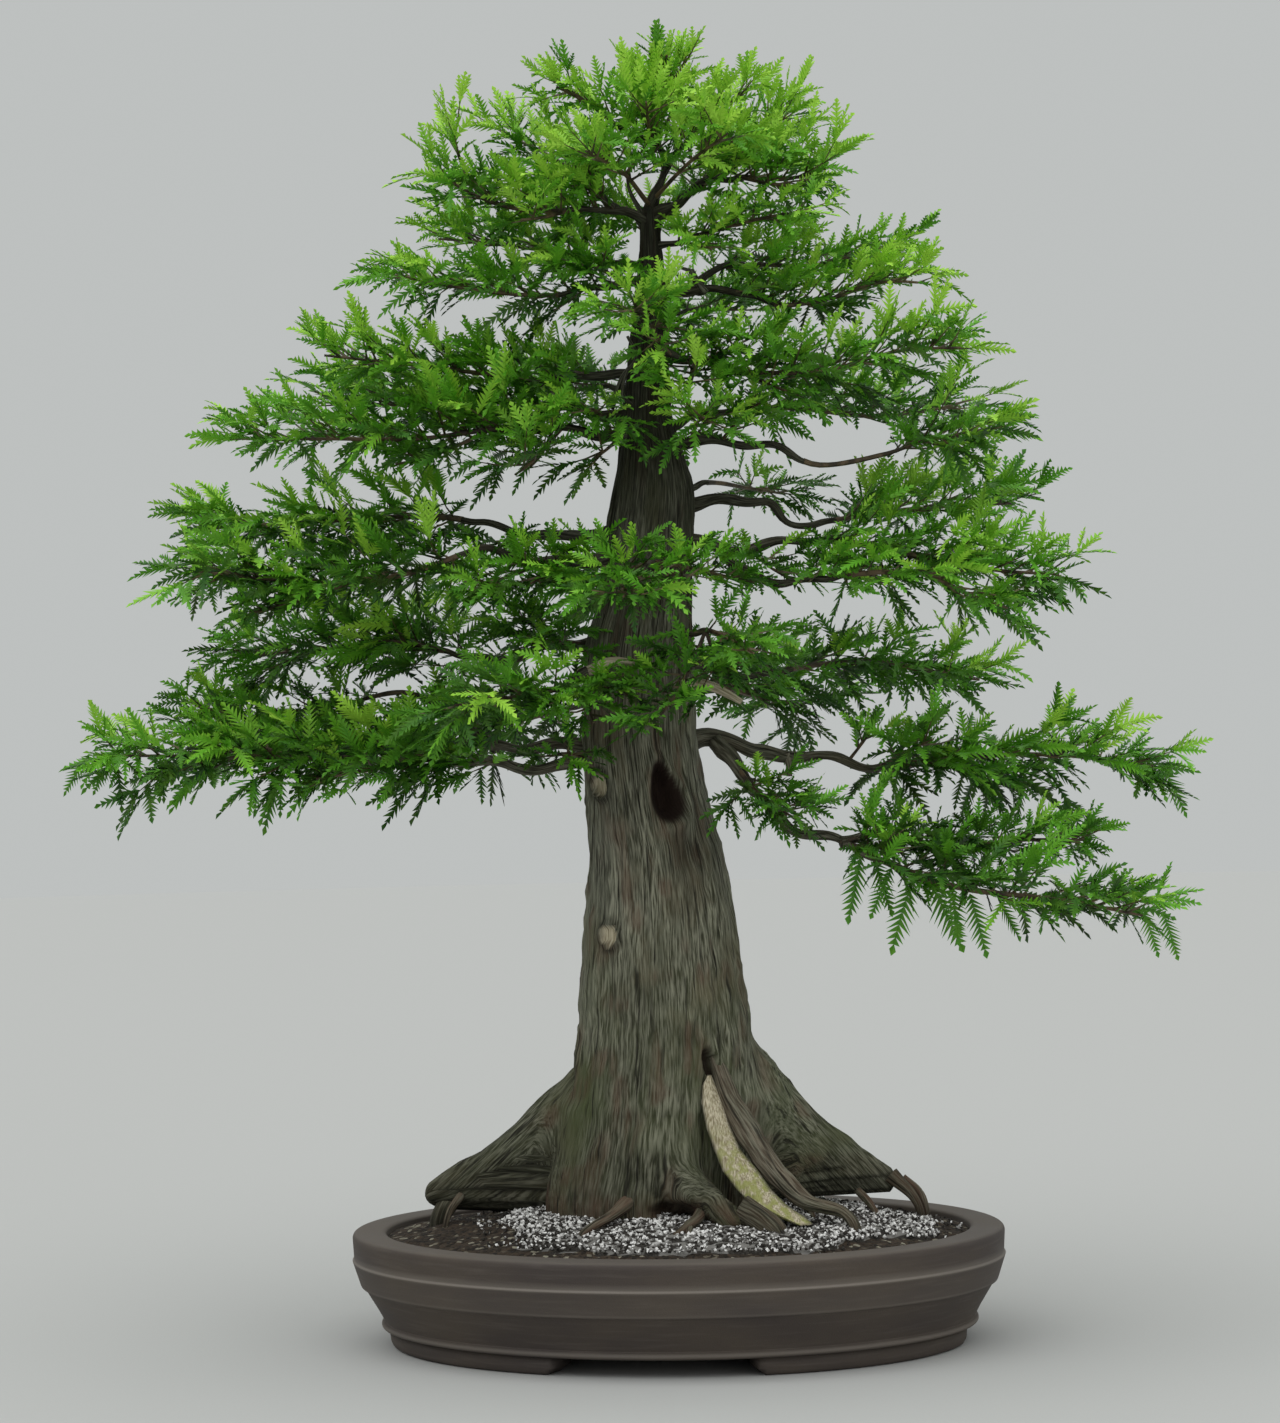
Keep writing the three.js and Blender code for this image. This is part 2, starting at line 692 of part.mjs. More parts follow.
// Soil that fills the pot up to its mounded top; lift raises the top
function soilBody(lift = 0) {
  const bottom = FLOOR_TOP + SEAT_GAP;
  const rings = [
    ovalRing(innerInset(bottom) + SEAT_GAP, bottom),
    ovalRing(innerInset(SOIL_EDGE_HEIGHT) + SEAT_GAP, SOIL_EDGE_HEIGHT + lift),
  ];
  for (const share of SOIL_RINGS) {
    const ring = ovalRing(innerInset(SOIL_EDGE_HEIGHT), 0).map((p) => {
      const x = p.x * share;
      const y = p.y * share;
      return new THREE.Vector3(x, y, soilHeight(x, y) + lift);
    });
    rings.push(ring);
  }
  return loft(rings);
}

// Heap of grit over the front and middle of the soil, sunk into it at its border
function gritHeap() {
  const rings = [];
  for (let r = GRIT_RINGS; r >= 1; r -= 1) {
    const share = r / GRIT_RINGS;
    const ring = Array.from({ length: POT_SEGMENTS }, (_, s) => {
      const angle = (2 * Math.PI * s) / POT_SEGMENTS;
      const lobes = 1 + Math.sin(3 * angle + 1) * Math.cos(5 * angle);
      const wobble = 1 - GRIT_BORDER_WOBBLE * share * lobes;
      const x = GRIT_CENTRE.x + (GRIT_LENGTH / 2) * share * wobble * Math.cos(angle);
      const y = GRIT_CENTRE.y + (GRIT_DEPTH / 2) * share * wobble * Math.sin(angle);
      const chips = GRIT_RELIEF * (draw(r * POT_SEGMENTS + s) - 0.5) * (r < GRIT_RINGS ? 2 : 0);
      const depth = r === GRIT_RINGS ? -GRIT_BORDER_SINK : GRIT_THICKNESS + chips;
      return new THREE.Vector3(x, y, soilHeight(x, y) + SEAT_GAP + depth);
    });
    if (r === GRIT_RINGS) {
      rings.push(ring.map((p) => new THREE.Vector3(p.x, p.y, SOIL_EDGE_HEIGHT - GRIT_BED_DEPTH)));
    }
    rings.push(ring);
  }
  return loft(rings);
}

// Trunk up to the fork; grow makes it fatter all round
function trunkBody(grow) {
  const rings = TRUNK_RINGS.map(([z, left, right, halfDepth], i) => {
    const middle = (left + right) / 2;
    const halfWidth = (right - left) / 2 + grow;
    const height = z + (i === 0 ? -grow : 0) + (i === TRUNK_RINGS.length - 1 ? grow : 0);
    return Array.from({ length: TRUNK_SIDES }, (_, s) => {
      const angle = (2 * Math.PI * s) / TRUNK_SIDES;
      const flute = z < FLUTED_HEIGHT ? 1 + FLUTE_DEPTH * Math.cos(4 * angle + z / FLUTE_TWIST) : 1;
      return turnedToFront([
        middle + halfWidth * Math.cos(angle) * Math.min(flute, 1),
        (halfDepth + grow) * Math.sin(angle) * flute,
        height,
      ]);
    });
  });
  return loft(rings);
}

// A rounded hollow to be cut out of the trunk
function hollowBody({ centre, half, tilt }) {
  const ball = new THREE.SphereGeometry(1, 8, 6).rotateX(Math.PI / 2);
  ball.scale(half[0], half[1], half[2]);
  ball.rotateY(THREE.MathUtils.degToRad(tilt));
  ball.rotateZ(TREE_TURN);
  const place = turnedToFront(centre);
  return bodyOfGeometry(ball).translate([place.x, place.y, place.z]);
}

function limbCurve({ points }) {
  return new THREE.CatmullRomCurve3(points.map(turnedToFront), false, 'centripetal');
}

// Points at even steps on a curve between two shares of its length
function curvePoints(curve, from, to, step) {
  const length = curve.getLength() * (to - from);
  const count = Math.max(2, Math.round(length / step));
  return Array.from({ length: count + 1 }, (_, i) => curve.getPointAt(from + ((to - from) * i) / count));
}

// The bare woody share of a limb
function bareLimb(limb, grow) {
  const curve = limbCurve(limb);
  const points = curvePoints(curve, 0, limb.bare, LIMB_STEP);
  const [thick, thin] = limb.radii;
  const last = points.length - 1;
  const radii = points.map((_, i) => THREE.MathUtils.lerp(thick, thin, (i / last) ** LIMB_TAPER));
  const ends = [null, curve.getTangentAt(limb.bare)];
  return stem(points, radii, thick > THICK_LIMB ? 5 : 4, { grow, ends });
}

// Trunk, roots, limbs and stubs, grown as one piece of wood
function makeWood(grow = 0) {
  let wood = trunkBody(grow);
  for (const { points, radii, sides, breadth } of ROOTS) {
    wood = wood.add(stem(points.map(turnedToFront), radii, sides, { grow, breadth }));
  }
  for (const { points, radii } of STUBS) {
    wood = wood.add(stem(points.map(turnedToFront), radii, STUB_SIDES, { grow }));
  }
  for (const limb of LIMBS) {
    wood = wood.add(bareLimb(limb, grow));
  }
  if (grow === 0) {
    for (const hollow of HOLLOWS) {
      wood = wood.subtract(hollowBody(hollow));
    }
  }
  return largestPiece(wood);
}

// One leafy shoot: flat below, raised along its rib; guard makes it thicker and wider all round
function shootBody(base, along, up, length, guard = 0) {
  const forward = along.clone().normalize();
  const across = new THREE.Vector3().crossVectors(up, forward).normalize();
  const normal = new THREE.Vector3().crossVectors(forward, across);
  const cut = length * SHOOT_CUT_SHARE;
  const feathers = Math.max(FEWEST_FEATHERS, Math.round(cut / FEATHER_SPACING));
  const pitch = cut / feathers;
  const points = [];
  const point = (u, v, w) => {
    const droop = SHOOT_DROOP * length * (u / length) ** 2;
    points.push(base.clone()
      .addScaledVector(forward, u)
      .addScaledVector(across, v)
      .addScaledVector(normal, w - droop));
    return points.length - 1;
  };
  const root = point(0, 0, 0);
  const left = [];
  const right = [];
  const ribs = [];
  const first = length * SHOOT_ROOT_SHARE;
  const notch = SHOOT_NOTCH + guard;
  for (let k = 0; k < feathers; k += 1) {
    const start = first + k * pitch;
    const share = (k + 0.5) / feathers;
    const swell = Math.sin(Math.PI * (FEATHER_SWELL_START + FEATHER_SWELL * share));
    const reach = SHOOT_WIDTH_SHARE * length * swell + guard;
    const lean = Math.min(reach * FEATHER_LEAN, length - start - 2);
    left.push(point(start, notch, -guard), point(start + lean, reach, -guard));
    right.push(point(start, -notch, -guard), point(start + lean, -reach, -guard));
    ribs.push(point(start + pitch * 0.5, 0, SHOOT_RIB_HEIGHT + guard));
  }
  const end = first + feathers * pitch;
  left.push(point(end, notch, -guard));
  right.push(point(end, -notch, -guard));
  const tip = point(length + guard, 0, 0);
  const triangles = [[root, left[0], right[0]]];
  triangles.push([root, ribs[0], left[0]], [root, right[0], ribs[0]]);
  for (let k = 0; k < feathers; k += 1) {
    const [l0, l1, l2] = left.slice(2 * k, 2 * k + 3);
    const [r0, r1, r2] = right.slice(2 * k, 2 * k + 3);
    triangles.push([ribs[k], l1, l0], [ribs[k], l2, l1], [ribs[k], r0, r1], [ribs[k], r1, r2]);
    triangles.push([l0, l1, l2], [r0, r2, r1], [l0, l2, r2], [l0, r2, r0]);
    const next = k + 1 < feathers ? ribs[k + 1] : tip;
    triangles.push([ribs[k], next, l2], [ribs[k], r2, next]);
  }
  triangles.push([left.at(-1), tip, right.at(-1)]);
  return bodyOf(points, triangles);
}

// Solids that a new shoot has to stay clear of, each with its box and the limb that it belongs to
const occupied = [];

function occupy(body, owner) {
  occupied.push({ body, owner, box: boxOf(body) });
}

function boxOf(body) {
  const { min, max } = body.boundingBox();
  return new THREE.Box3(new THREE.Vector3(...min), new THREE.Vector3(...max));
}

function isClear(guard, owner) {
  const box = boxOf(guard);
  return occupied.every((other) => other.owner === owner
    || !other.box.intersectsBox(box)
    || guard.intersect(other.body).isEmpty());
}

// A level heading turned to one hand by an angle and tipped up by a lift, both in degrees
function headed(onward, turn, lift) {
  const heading = new THREE.Vector3(onward.x, onward.y, 0).normalize();
  heading.applyAxisAngle(new THREE.Vector3(0, 0, 1), THREE.MathUtils.degToRad(turn));
  const angle = THREE.MathUtils.degToRad(lift);
  return heading.multiplyScalar(Math.cos(angle)).setZ(Math.sin(angle));
}

// Add a shoot; the first turn and lift that stay clear are taken, and with none it is left out
function addShoot(parts, number, { base, onward, turns, lift, length, seed }) {
  const roll = (draw(seed) - 0.5) * SHOOT_ROLL;
  for (const change of SHOOT_LIFTS) {
    for (const turn of turns) {
      const along = headed(onward, turn, lift + change);
      const side = new THREE.Vector3(-along.y, along.x, 0).normalize();
      const up = new THREE.Vector3().crossVectors(along, side).applyAxisAngle(along, roll);
      if (isClear(shootBody(base, along, up, length, SHOOT_GUARD), number)) {
        parts.push(shootBody(base, along, up, length));
        return;
      }
    }
  }
}

// Shares of a limb's length between which its leafy stem runs
function leafyShares(limb) {
  const length = limbCurve(limb).getLength();
  return [limb.bare + SEAT_GAP / length, 1 - (TIP_SHOOT_SHARE * limb.shoot) / length];
}

function leafyStem(limb, grow = 0) {
  const curve = limbCurve(limb);
  const [start, stop] = leafyShares(limb);
  const points = curvePoints(curve, start, stop, LEADER_STEP);
  const last = points.length - 1;
  const radii = points.map((_, i) => THREE.MathUtils.lerp(limb.radii[1], LEADER_TIP_RADIUS, i / last));
  return stem(points, radii, 4, { grow, ends: [curve.getTangentAt(start), null] });
}

// The leafy end of a limb: a slim stem with a shoot at its tip and more to both sides in turn
function leafyEnd(limb, number) {
  const curve = limbCurve(limb);
  const [start, stop] = leafyShares(limb);
  const parts = [leafyStem(limb)];
  addShoot(parts, number, {
    base: curve.getPointAt(stop - SHOOT_SINK / curve.getLength()),
    onward: curve.getTangentAt(1),
    turns: TIP_TURNS,
    lift: limb.lift,
    length: limb.shoot,
    seed: number * SEEDS_PER_LIMB,
  });
  for (let i = 0; i < limb.sides; i += 1) {
    const seed = number * SEEDS_PER_LIMB + 4 * (i + 1);
    const share = start + (stop - start) * ((i + 0.25 + 0.5 * draw(seed)) / limb.sides);
    const hand = (i + number) % 2 === 0 ? 1 : -1;
    addShoot(parts, number, {
      base: curve.getPointAt(share),
      onward: curve.getTangentAt(share),
      turns: SHOOT_ANGLES.map((angle) => angle * hand),
      lift: limb.lift + SIDE_LIFTS[(i + number) % SIDE_LIFTS.length],
      length: limb.shoot * (SIDE_SHOOT_SHORTEST + SIDE_SHOOT_SPREAD * draw(seed + 1)),
      seed: seed + 2,
    });
  }
  return largestPiece(joined(parts));
}

const wood = makeWood();
const grownWood = makeWood(SEAT_GAP);
const bedSize = SCREEN_SIZE + 2 * SEAT_GAP;
const screenBed = new THREE.BoxGeometry(bedSize, bedSize, 2 * SCREEN_THICKNESS);
let soil = soilBody().subtract(grownWood);
for (const x of [-DRAIN_OFFSET, DRAIN_OFFSET]) {
  soil = soil.subtract(bodyOfGeometry(screenBed).translate([x, 0, FLOOR_TOP + SCREEN_THICKNESS]));
}
const grit = gritHeap().subtract(soilBody(SEAT_GAP)).subtract(grownWood);

const group = new THREE.Group();
group.add(meshOf('pot', makePot(), CLAY));
group.add(meshOf('drain_screen_left', makeScreen(-DRAIN_OFFSET), MESH_PLASTIC));
group.add(meshOf('drain_screen_right', makeScreen(DRAIN_OFFSET), MESH_PLASTIC));
group.add(meshOf('soil', largestPiece(soil), DARK_SOIL));
group.add(meshOf('grit', largestPiece(grit), PALE_GRIT));
group.add(meshOf('wood', wood, BARK));

occupy(wood, null);
LIMBS.forEach((limb, number) => occupy(leafyStem(limb, SEAT_GAP), number));
LIMBS.forEach((limb, number) => {
  const body = leafyEnd(limb, number);
  occupy(body, number);
  const color = LEAF_GREENS[number % LEAF_GREENS.length];
  const leaf = new THREE.MeshStandardMaterial({ color, roughness: 0.7, metalness: 0 });
  group.add(meshOf(`foliage_${limb.name}`, body, leaf));
});

// The whole object stands with the middle of its footprint on the origin
const box = new THREE.Box3().setFromObject(group);
const middle = box.getCenter(new THREE.Vector3());
group.position.set(-middle.x, -middle.y, -box.min.z);

export default group;
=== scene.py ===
import logging
import math
from dataclasses import dataclass, field
from enum import Enum
from functools import partial
from typing import Any, Callable

import bpy
import numpy as np
from mathutils import Matrix, Vector


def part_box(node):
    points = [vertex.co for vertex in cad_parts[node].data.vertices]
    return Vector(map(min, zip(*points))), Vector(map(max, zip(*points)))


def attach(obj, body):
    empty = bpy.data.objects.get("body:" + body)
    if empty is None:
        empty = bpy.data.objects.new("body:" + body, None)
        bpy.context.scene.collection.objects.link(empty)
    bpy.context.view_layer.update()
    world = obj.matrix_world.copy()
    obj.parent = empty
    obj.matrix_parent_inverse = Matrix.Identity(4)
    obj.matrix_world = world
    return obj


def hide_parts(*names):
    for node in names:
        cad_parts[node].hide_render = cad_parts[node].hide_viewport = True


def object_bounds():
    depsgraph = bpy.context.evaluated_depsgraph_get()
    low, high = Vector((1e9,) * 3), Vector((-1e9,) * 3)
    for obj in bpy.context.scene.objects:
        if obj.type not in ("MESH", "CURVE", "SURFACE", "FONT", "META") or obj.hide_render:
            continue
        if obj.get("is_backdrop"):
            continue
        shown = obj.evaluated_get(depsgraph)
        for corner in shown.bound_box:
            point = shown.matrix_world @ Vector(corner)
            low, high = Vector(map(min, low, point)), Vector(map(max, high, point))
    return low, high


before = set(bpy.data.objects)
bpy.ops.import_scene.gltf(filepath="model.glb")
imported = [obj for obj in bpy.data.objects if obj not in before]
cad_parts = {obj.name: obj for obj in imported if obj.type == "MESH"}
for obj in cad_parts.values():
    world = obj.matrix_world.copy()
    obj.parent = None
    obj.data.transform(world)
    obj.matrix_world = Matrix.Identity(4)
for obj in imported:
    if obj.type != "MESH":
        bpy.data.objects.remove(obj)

# Bald cypress bonsai in an oval pot of unglazed clay. The tree's own points are in millimetres from the
# pot's centre as seen from the tree's front, and turned with it; they become metres when placed.

LOG = logging.getLogger("bonsai")
Array = np.ndarray
Pair = tuple[float, float]
Triple = tuple[float, float, float]
Triples = tuple[Triple, ...]
Adder = Callable[..., Any]
Named = dict[str, Array]

MM = 0.001
TREE_TURN = math.radians(7.0)
CAD_LOW, CAD_HIGH = (np.array(corner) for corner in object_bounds())
POT_LOW, POT_HIGH = (np.array(corner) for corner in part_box("pot"))
POT_MIDDLE = np.array([*((POT_LOW + POT_HIGH)[:2] / 2), POT_LOW[2]])
UP = np.array([0.0, 0.0, 1.0])
CIRCLE = 2 * math.pi

# Cuts between two corners of a curve, and millimetres between the knobs along a tube
CURVE_CUTS = 32
KNOB_STEP = 11.0

# A share of the way to a hollow's edge that is past its lip, and how far leaves may pass the solids' box
FAR_OUT = 9.0
BOX_ROOM = 9 * MM


class Turn(Enum):
    """Whether a shape's points are the pot's own or turned with the tree."""

    POT = 0.0
    TREE = TREE_TURN


class Grade(Enum):
    """Sizes of a feather: needle pairs, and the length in millimetres above which it has them.

    Only feathers that hang alone are of the grade HANGING, whatever their length.
    """

    LONG = (9, 36.0)
    MIDDLE = (8, 28.0)
    SHORT = (6, 0.0)
    HANGING = (12, 999.0)


def linear(hex_colour: str) -> tuple[float, float, float, float]:
    """Turns an sRGB hex colour to linear values.

    Args:
        hex_colour: Six hex digits.

    Returns:
        Red, green, blue and an alpha of one.
    """
    parts = [int(hex_colour[i : i + 2], 16) / 255 for i in (0, 2, 4)]
    red, green, blue = (p / 12.92 if p <= 0.04045 else ((p + 0.055) / 1.055) ** 2.4 for p in parts)
    return red, green, blue, 1.0


def placed(points: Array, turn: Turn) -> Array:
    """Turns points in millimetres about the pot's centre and gives their places in metres.

    Args:
        points: Rows of x, y, z.
        turn: The shape's turn.

    Returns:
        Rows of x, y, z in the part's own frame.
    """
    c, s = math.cos(turn.value), math.sin(turn.value)
    turned = points @ np.array([[c, s, 0.0], [-s, c, 0.0], [0.0, 0.0, 1.0]])
    return turned * MM + POT_MIDDLE


def unit(vectors: Array) -> Array:
    """Scales rows to a length of one."""
    return vectors / np.maximum(np.linalg.norm(vectors, axis=-1, keepdims=True), 1e-9)


def ease(low: float, high: float, value: Array) -> Array:
    """Smooth step: 3t^2 - 2t^3 with t the share of the way from low to high, kept between 0 and 1."""
    t = np.clip((value - low) / (high - low), 0.0, 1.0)
    return t * t * (3 - 2 * t)


def bell(value: Array, middle: float, width: float) -> Array:
    """Bell curve: e to the power -((value - middle) / width)^2."""
    return np.exp(-(((value - middle) / width) ** 2))


def aim(heading: Array, lift: Array) -> Array:
    """Directions: cos lift cos heading, cos lift sin heading, sin lift."""
    return np.stack([np.cos(lift) * np.cos(heading), np.cos(lift) * np.sin(heading), np.sin(lift)], -1)


def noise(u: Array, v: Array, cells: tuple[int, int], seed: int) -> Array:
    """Smooth noise: random values on a lattice, blended between corners with 3t^2 - 2t^3, periodic in u.

    Args:
        u: Share of the way round, from 0 to 1.
        v: Share of the way along, from 0 to 1.
        cells: Lattice cells round and along.
        seed: Seed of the lattice's values.

    Returns:
        Values from 0 to 1, in the shape of u and v.
    """
    round_cells, long_cells = cells
    table = np.random.default_rng(seed).random((long_cells + 2, round_cells))
    x, y = (u % 1.0) * round_cells, np.clip(v, 0.0, 1.0) * long_cells
    i, j = np.floor(x).astype(int), np.floor(y).astype(int)
    s, t = (ease(0.0, 1.0, share) for share in (x - i, y - j))
    i, after = i % round_cells, (i + 1) % round_cells
    near = table[j, i] * (1 - s) + table[j, after] * s
    far = table[j + 1, i] * (1 - s) + table[j + 1, after] * s
    return near * (1 - t) + far * t


@dataclass
class Shell:
    """Closed skin: points in millimetres, triangles of point numbers, and named values at the points."""

    points: Array
    triangles: Array
    values: Named = field(default_factory=dict)

    def with_values(self, **values: Any) -> "Shell":
        """Gives the skin named values, one for all points or one for each."""
        count = len(self.points)
        for name, value in values.items():
            value = np.asarray(value, float)
            self.values[name] = value if value.shape[:1] == (count,) else np.full(count, float(value))
        return self


def joined(shells: list[Shell]) -> Shell:
    """Puts skins together as one, with a value of nought where one lacks a name.

    Args:
        shells: The skins.

    Returns:
        One skin.
    """
    starts = np.cumsum([0] + [len(shell.points) for shell in shells[:-1]])
    shapes = {name: shell.values[name].shape[1:] for shell in shells for name in shell.values}
    values = {}
    for name, shape in shapes.items():
        rows = [shell.values.get(name, np.zeros((len(shell.points), *shape))) for shell in shells]
        values[name] = np.concatenate(rows)
    points = np.concatenate([shell.points for shell in shells])
    triangles = np.concatenate([shell.triangles + start for shell, start in zip(shells, starts)])
    return Shell(points, triangles, values)


def repeated(triangles: Array, corners: int, count: int) -> Array:
    """The triangles of copies of a shape with so many corners, one copy's points after the other's."""
    return (triangles[None] + corners * np.arange(count)[:, None, None]).reshape(-1, 3)


def grid_triangles(rows: int, columns: int) -> Array:
    """Triangles of a grid that closes round its columns, facing out when rings run against the clock.

    Args:
        rows: Rings in the grid.
        columns: Points in a ring.

    Returns:
        Rows of three point numbers.
    """
    row, column = np.meshgrid(np.arange(rows - 1), np.arange(columns), indexing="ij")
    a = (row * columns + column).ravel()
    b = (row * columns + (column + 1) % columns).ravel()
    return np.concatenate([np.stack([a, b, b + columns], 1), np.stack([a, b + columns, a + columns], 1)])


def ring_skin(rings: Array) -> Shell:
    """Closes a grid of rings with a middle point and a fan at each end.

    Args:
        rings: Points with the shape (rings, points in a ring, 3).

    Returns:
        The closed skin, its grid points first and the two middles last.
    """
    rows, columns, _ = rings.shape
    first, last = rows * columns, rows * columns + 1
    around = np.arange(columns)
    after = (around + 1) % columns
    top = (rows - 1) * columns
    start_fan = np.stack([np.full(columns, first), after, around], 1)
    end_fan = np.stack([np.full(columns, last), top + around, top + after], 1)
    points = np.concatenate([rings.reshape(-1, 3), rings[[0, -1]].mean(axis=1)])
    return Shell(points, np.concatenate([grid_triangles(rows, columns), start_fan, end_fan]))


def ring_values(grid: Array) -> Array:
    """Values for the points of a ring skin: the grid's, then one each for the two middles."""
    return np.concatenate([grid.reshape(-1, *grid.shape[2:]), grid[[0, -1], 0]])


def run_length(path: Array) -> Array:
    """Distance along a path to each of its points."""
    return np.concatenate([[0], np.cumsum(np.linalg.norm(np.diff(path, axis=0), axis=1))])


def smooth_path(corners: Array, step: float, share: Pair = (0.0, 1.0)) -> Array:
    """Centripetal Catmull-Rom curve through corners, cut to a share of its length at even steps.

    Between corners b and c, with a before and d after, the tangents are the differences weighted by the
    square roots of the chords, and the point is the usual cubic of the two ends and their tangents.

    Args:
        corners: Rows of x, y, z.
        step: Distance between points.
        share: Where the piece starts and stops, as shares of the length.

    Returns:
        Rows of x, y, z.
    """
    before, after = 2 * corners[0] - corners[1], 2 * corners[-1] - corners[-2]
    c = np.concatenate([[before], corners, [after]])
    gap = np.linalg.norm(np.diff(c, axis=0), axis=1)[:, None] ** 0.5
    a, b, d, e = c[:-3], c[1:-2], c[2:-1], c[3:]
    ga, gb, gd = gap[:-2], gap[1:-1], gap[2:]
    out_of = ((b - a) / ga - (d - a) / (ga + gb) + (d - b) / gb) * gb
    into = ((d - b) / gb - (e - b) / (gb + gd) + (e - d) / gd) * gb
    t = (np.arange(CURVE_CUTS) / CURVE_CUTS)[None, :, None]
    b, d, out_of, into = (x[:, None, :] for x in (b, d, out_of, into))
    cubic = b + out_of * t + (3 * (d - b) - 2 * out_of - into) * t**2 + (2 * (b - d) + out_of + into) * t**3
    fine = np.concatenate([cubic.reshape(-1, 3), corners[-1:]])
    run = run_length(fine)
    low, high = share[0] * run[-1], share[1] * run[-1]
    wanted = np.linspace(low, high, max(3, int(round((high - low) / step)) + 1))
    return np.stack([np.interp(wanted, run, fine[:, axis]) for axis in range(3)], 1)


def tube(
    path: Array, radii: Array, sides: int, breadth: float = 1.0, knobs: float = 0.0, seed: int = 0
) -> Shell:
    """A ring carried along a path: centre + radius (cos a side + breadth sin a other), with knobs of noise.

    The values named grain are the point's place on a cylinder of the mean radius, with the run along the
    path as height, so that bark follows the limb.

    Args:
        path: Rows of x, y, z.
        radii: Radius at each point of the path.
        sides: Points in a ring.
        breadth: Half width as a share of half height.
        knobs: Share of the radius by which knobs rise and sink.
        seed: Seed of the knobs.

    Returns:
        The closed skin.
    """
    along = unit(np.gradient(path, axis=0))
    reference = UP if abs(along[:, 2].mean()) < 0.85 else np.array([1.0, 0.0, 0.0])
    side = unit(reference - (along @ reference)[:, None] * along)
    other = np.cross(along, side)
    run = run_length(path)
    angle = np.arange(sides) * CIRCLE / sides
    cells = (max(3, sides // 3), max(3, int(run[-1] / KNOB_STEP)))
    u, v, height = np.broadcast_arrays(angle / CIRCLE, run[:, None] / run[-1], run[:, None])
    size = radii[:, None] * (1 + 2 * knobs * (noise(u, v, cells, seed) - 0.5))
    c, s = np.cos(CIRCLE * u)[..., None], np.sin(CIRCLE * u)[..., None]
    skin = ring_skin(path[:, None] + size[..., None] * (c * side[:, None] + breadth * s * other[:, None]))
    mean = float(radii.mean())
    grain = np.concatenate([mean * c, mean * s, height[..., None]], -1) + 37.0 * (seed % 23)
    skin.values["grain"] = ring_values(grain) * MM
    return skin


class Node(Enum):
    """Kinds of shader node: type, inputs that values go to in turn, the output used, and settings."""

    BLEND = ("ShaderNodeMix", (0, 6, 7), 2, {"data_type": "RGBA"})
    RANGE = ("ShaderNodeMapRange", (0, 1, 2, 3, 4), 0, {"clamp": True})
    TIMES = ("ShaderNodeMath", (0, 1), 0, {"operation": "MULTIPLY"})
    PLUS = ("ShaderNodeMath", (0, 1), 0, {"operation": "ADD"})
    STRETCH = ("ShaderNodeVectorMath", (0, 1), 0, {"operation": "MULTIPLY"})
    NOISE = ("ShaderNodeTexNoise", ("Vector", "Detail", "Scale"), 0, {})
    CELL_SHADE = ("ShaderNodeTexVoronoi", ("Vector", "Scale"), "Color", {})
    CELL_DISTANCE = ("ShaderNodeTexVoronoi", ("Vector", "Scale"), "Distance", {})
    RED = ("ShaderNodeSeparateColor", (0,), 0, {})
    PLACE = ("ShaderNodeTexCoord", (), "Object", {})
    GRAIN = ("ShaderNodeAttribute", (), "Vector", {"attribute_name": "grain"})
    VALUE = ("ShaderNodeAttribute", (), "Fac", {})
    BUMP = ("ShaderNodeBump", ("Height", "Distance"), 0, {})


def add_node(tree: Any, kind: Node, *values: Any, **settings: Any) -> Any:
    """Adds a node with its settings, and sets or links its inputs.

    Args:
        tree: The node tree.
        kind: Kind of node.
        values: For each input in turn a number, a vector, an sRGB hex colour or a socket.
        settings: The node's own properties, beside those of its kind.

    Returns:
        The output socket.
    """
    type_name, inputs, output, usual = kind.value
    node = tree.nodes.new(type_name)
    for name, value in (usual | settings).items():
        setattr(node, name, value)
    for name, value in zip(inputs, values):
        if isinstance(value, bpy.types.NodeSocket):
            tree.links.new(value, node.inputs[name])
        else:
            node.inputs[name].default_value = linear(value) if isinstance(value, str) else value
    return node.outputs[output]


def coated(add: Adder, colour: Any, coats: tuple[tuple[Any, ...], ...]) -> Any:
    """Blends shades over a colour one after another, each where a pattern runs through a span.

    Args:
        add: Adds a node to the material.
        colour: The colour below.
        coats: For each coat its pattern, the span that it is drawn from and to, and the shade.

    Returns:
        Socket of colour.
    """
    for pattern, span, shade in coats:
        colour = add(Node.BLEND, add(Node.RANGE, pattern, *span), colour, shade)
    return colour


@dataclass(frozen=True)
class Finish:
    """A surface's look: name, roughness, specular level, relief in metres, and a subclass's nodes."""

    name: str
    roughness: float = 0.9
    specular: float = 0.4
    relief: float = 0.0006

    def looks(self, add: Adder) -> dict[str, Any]:
        """Adds the nodes of the finish, and gives sockets by the shader's inputs, and the height's."""
        raise NotImplementedError

    def material(self) -> Any:
        """Makes the material, or gives the one already made under this name.

        Returns:
            The material.
        """
        made = bpy.data.materials.get(self.name)
        if made:
            return made
        made = bpy.data.materials.new(self.name)
        made.use_nodes = True
        tree = made.node_tree
        add = partial(add_node, tree)
        inputs = tree.nodes["Principled BSDF"].inputs
        inputs["Roughness"].default_value = self.roughness
        inputs["Specular IOR Level"].default_value = self.specular
        looks = self.looks(add)
        if "Height" in looks:
            looks["Normal"] = add(Node.BUMP, looks.pop("Height"), self.relief)
        for name, socket in looks.items():
            tree.links.new(socket, inputs[name])
        return made


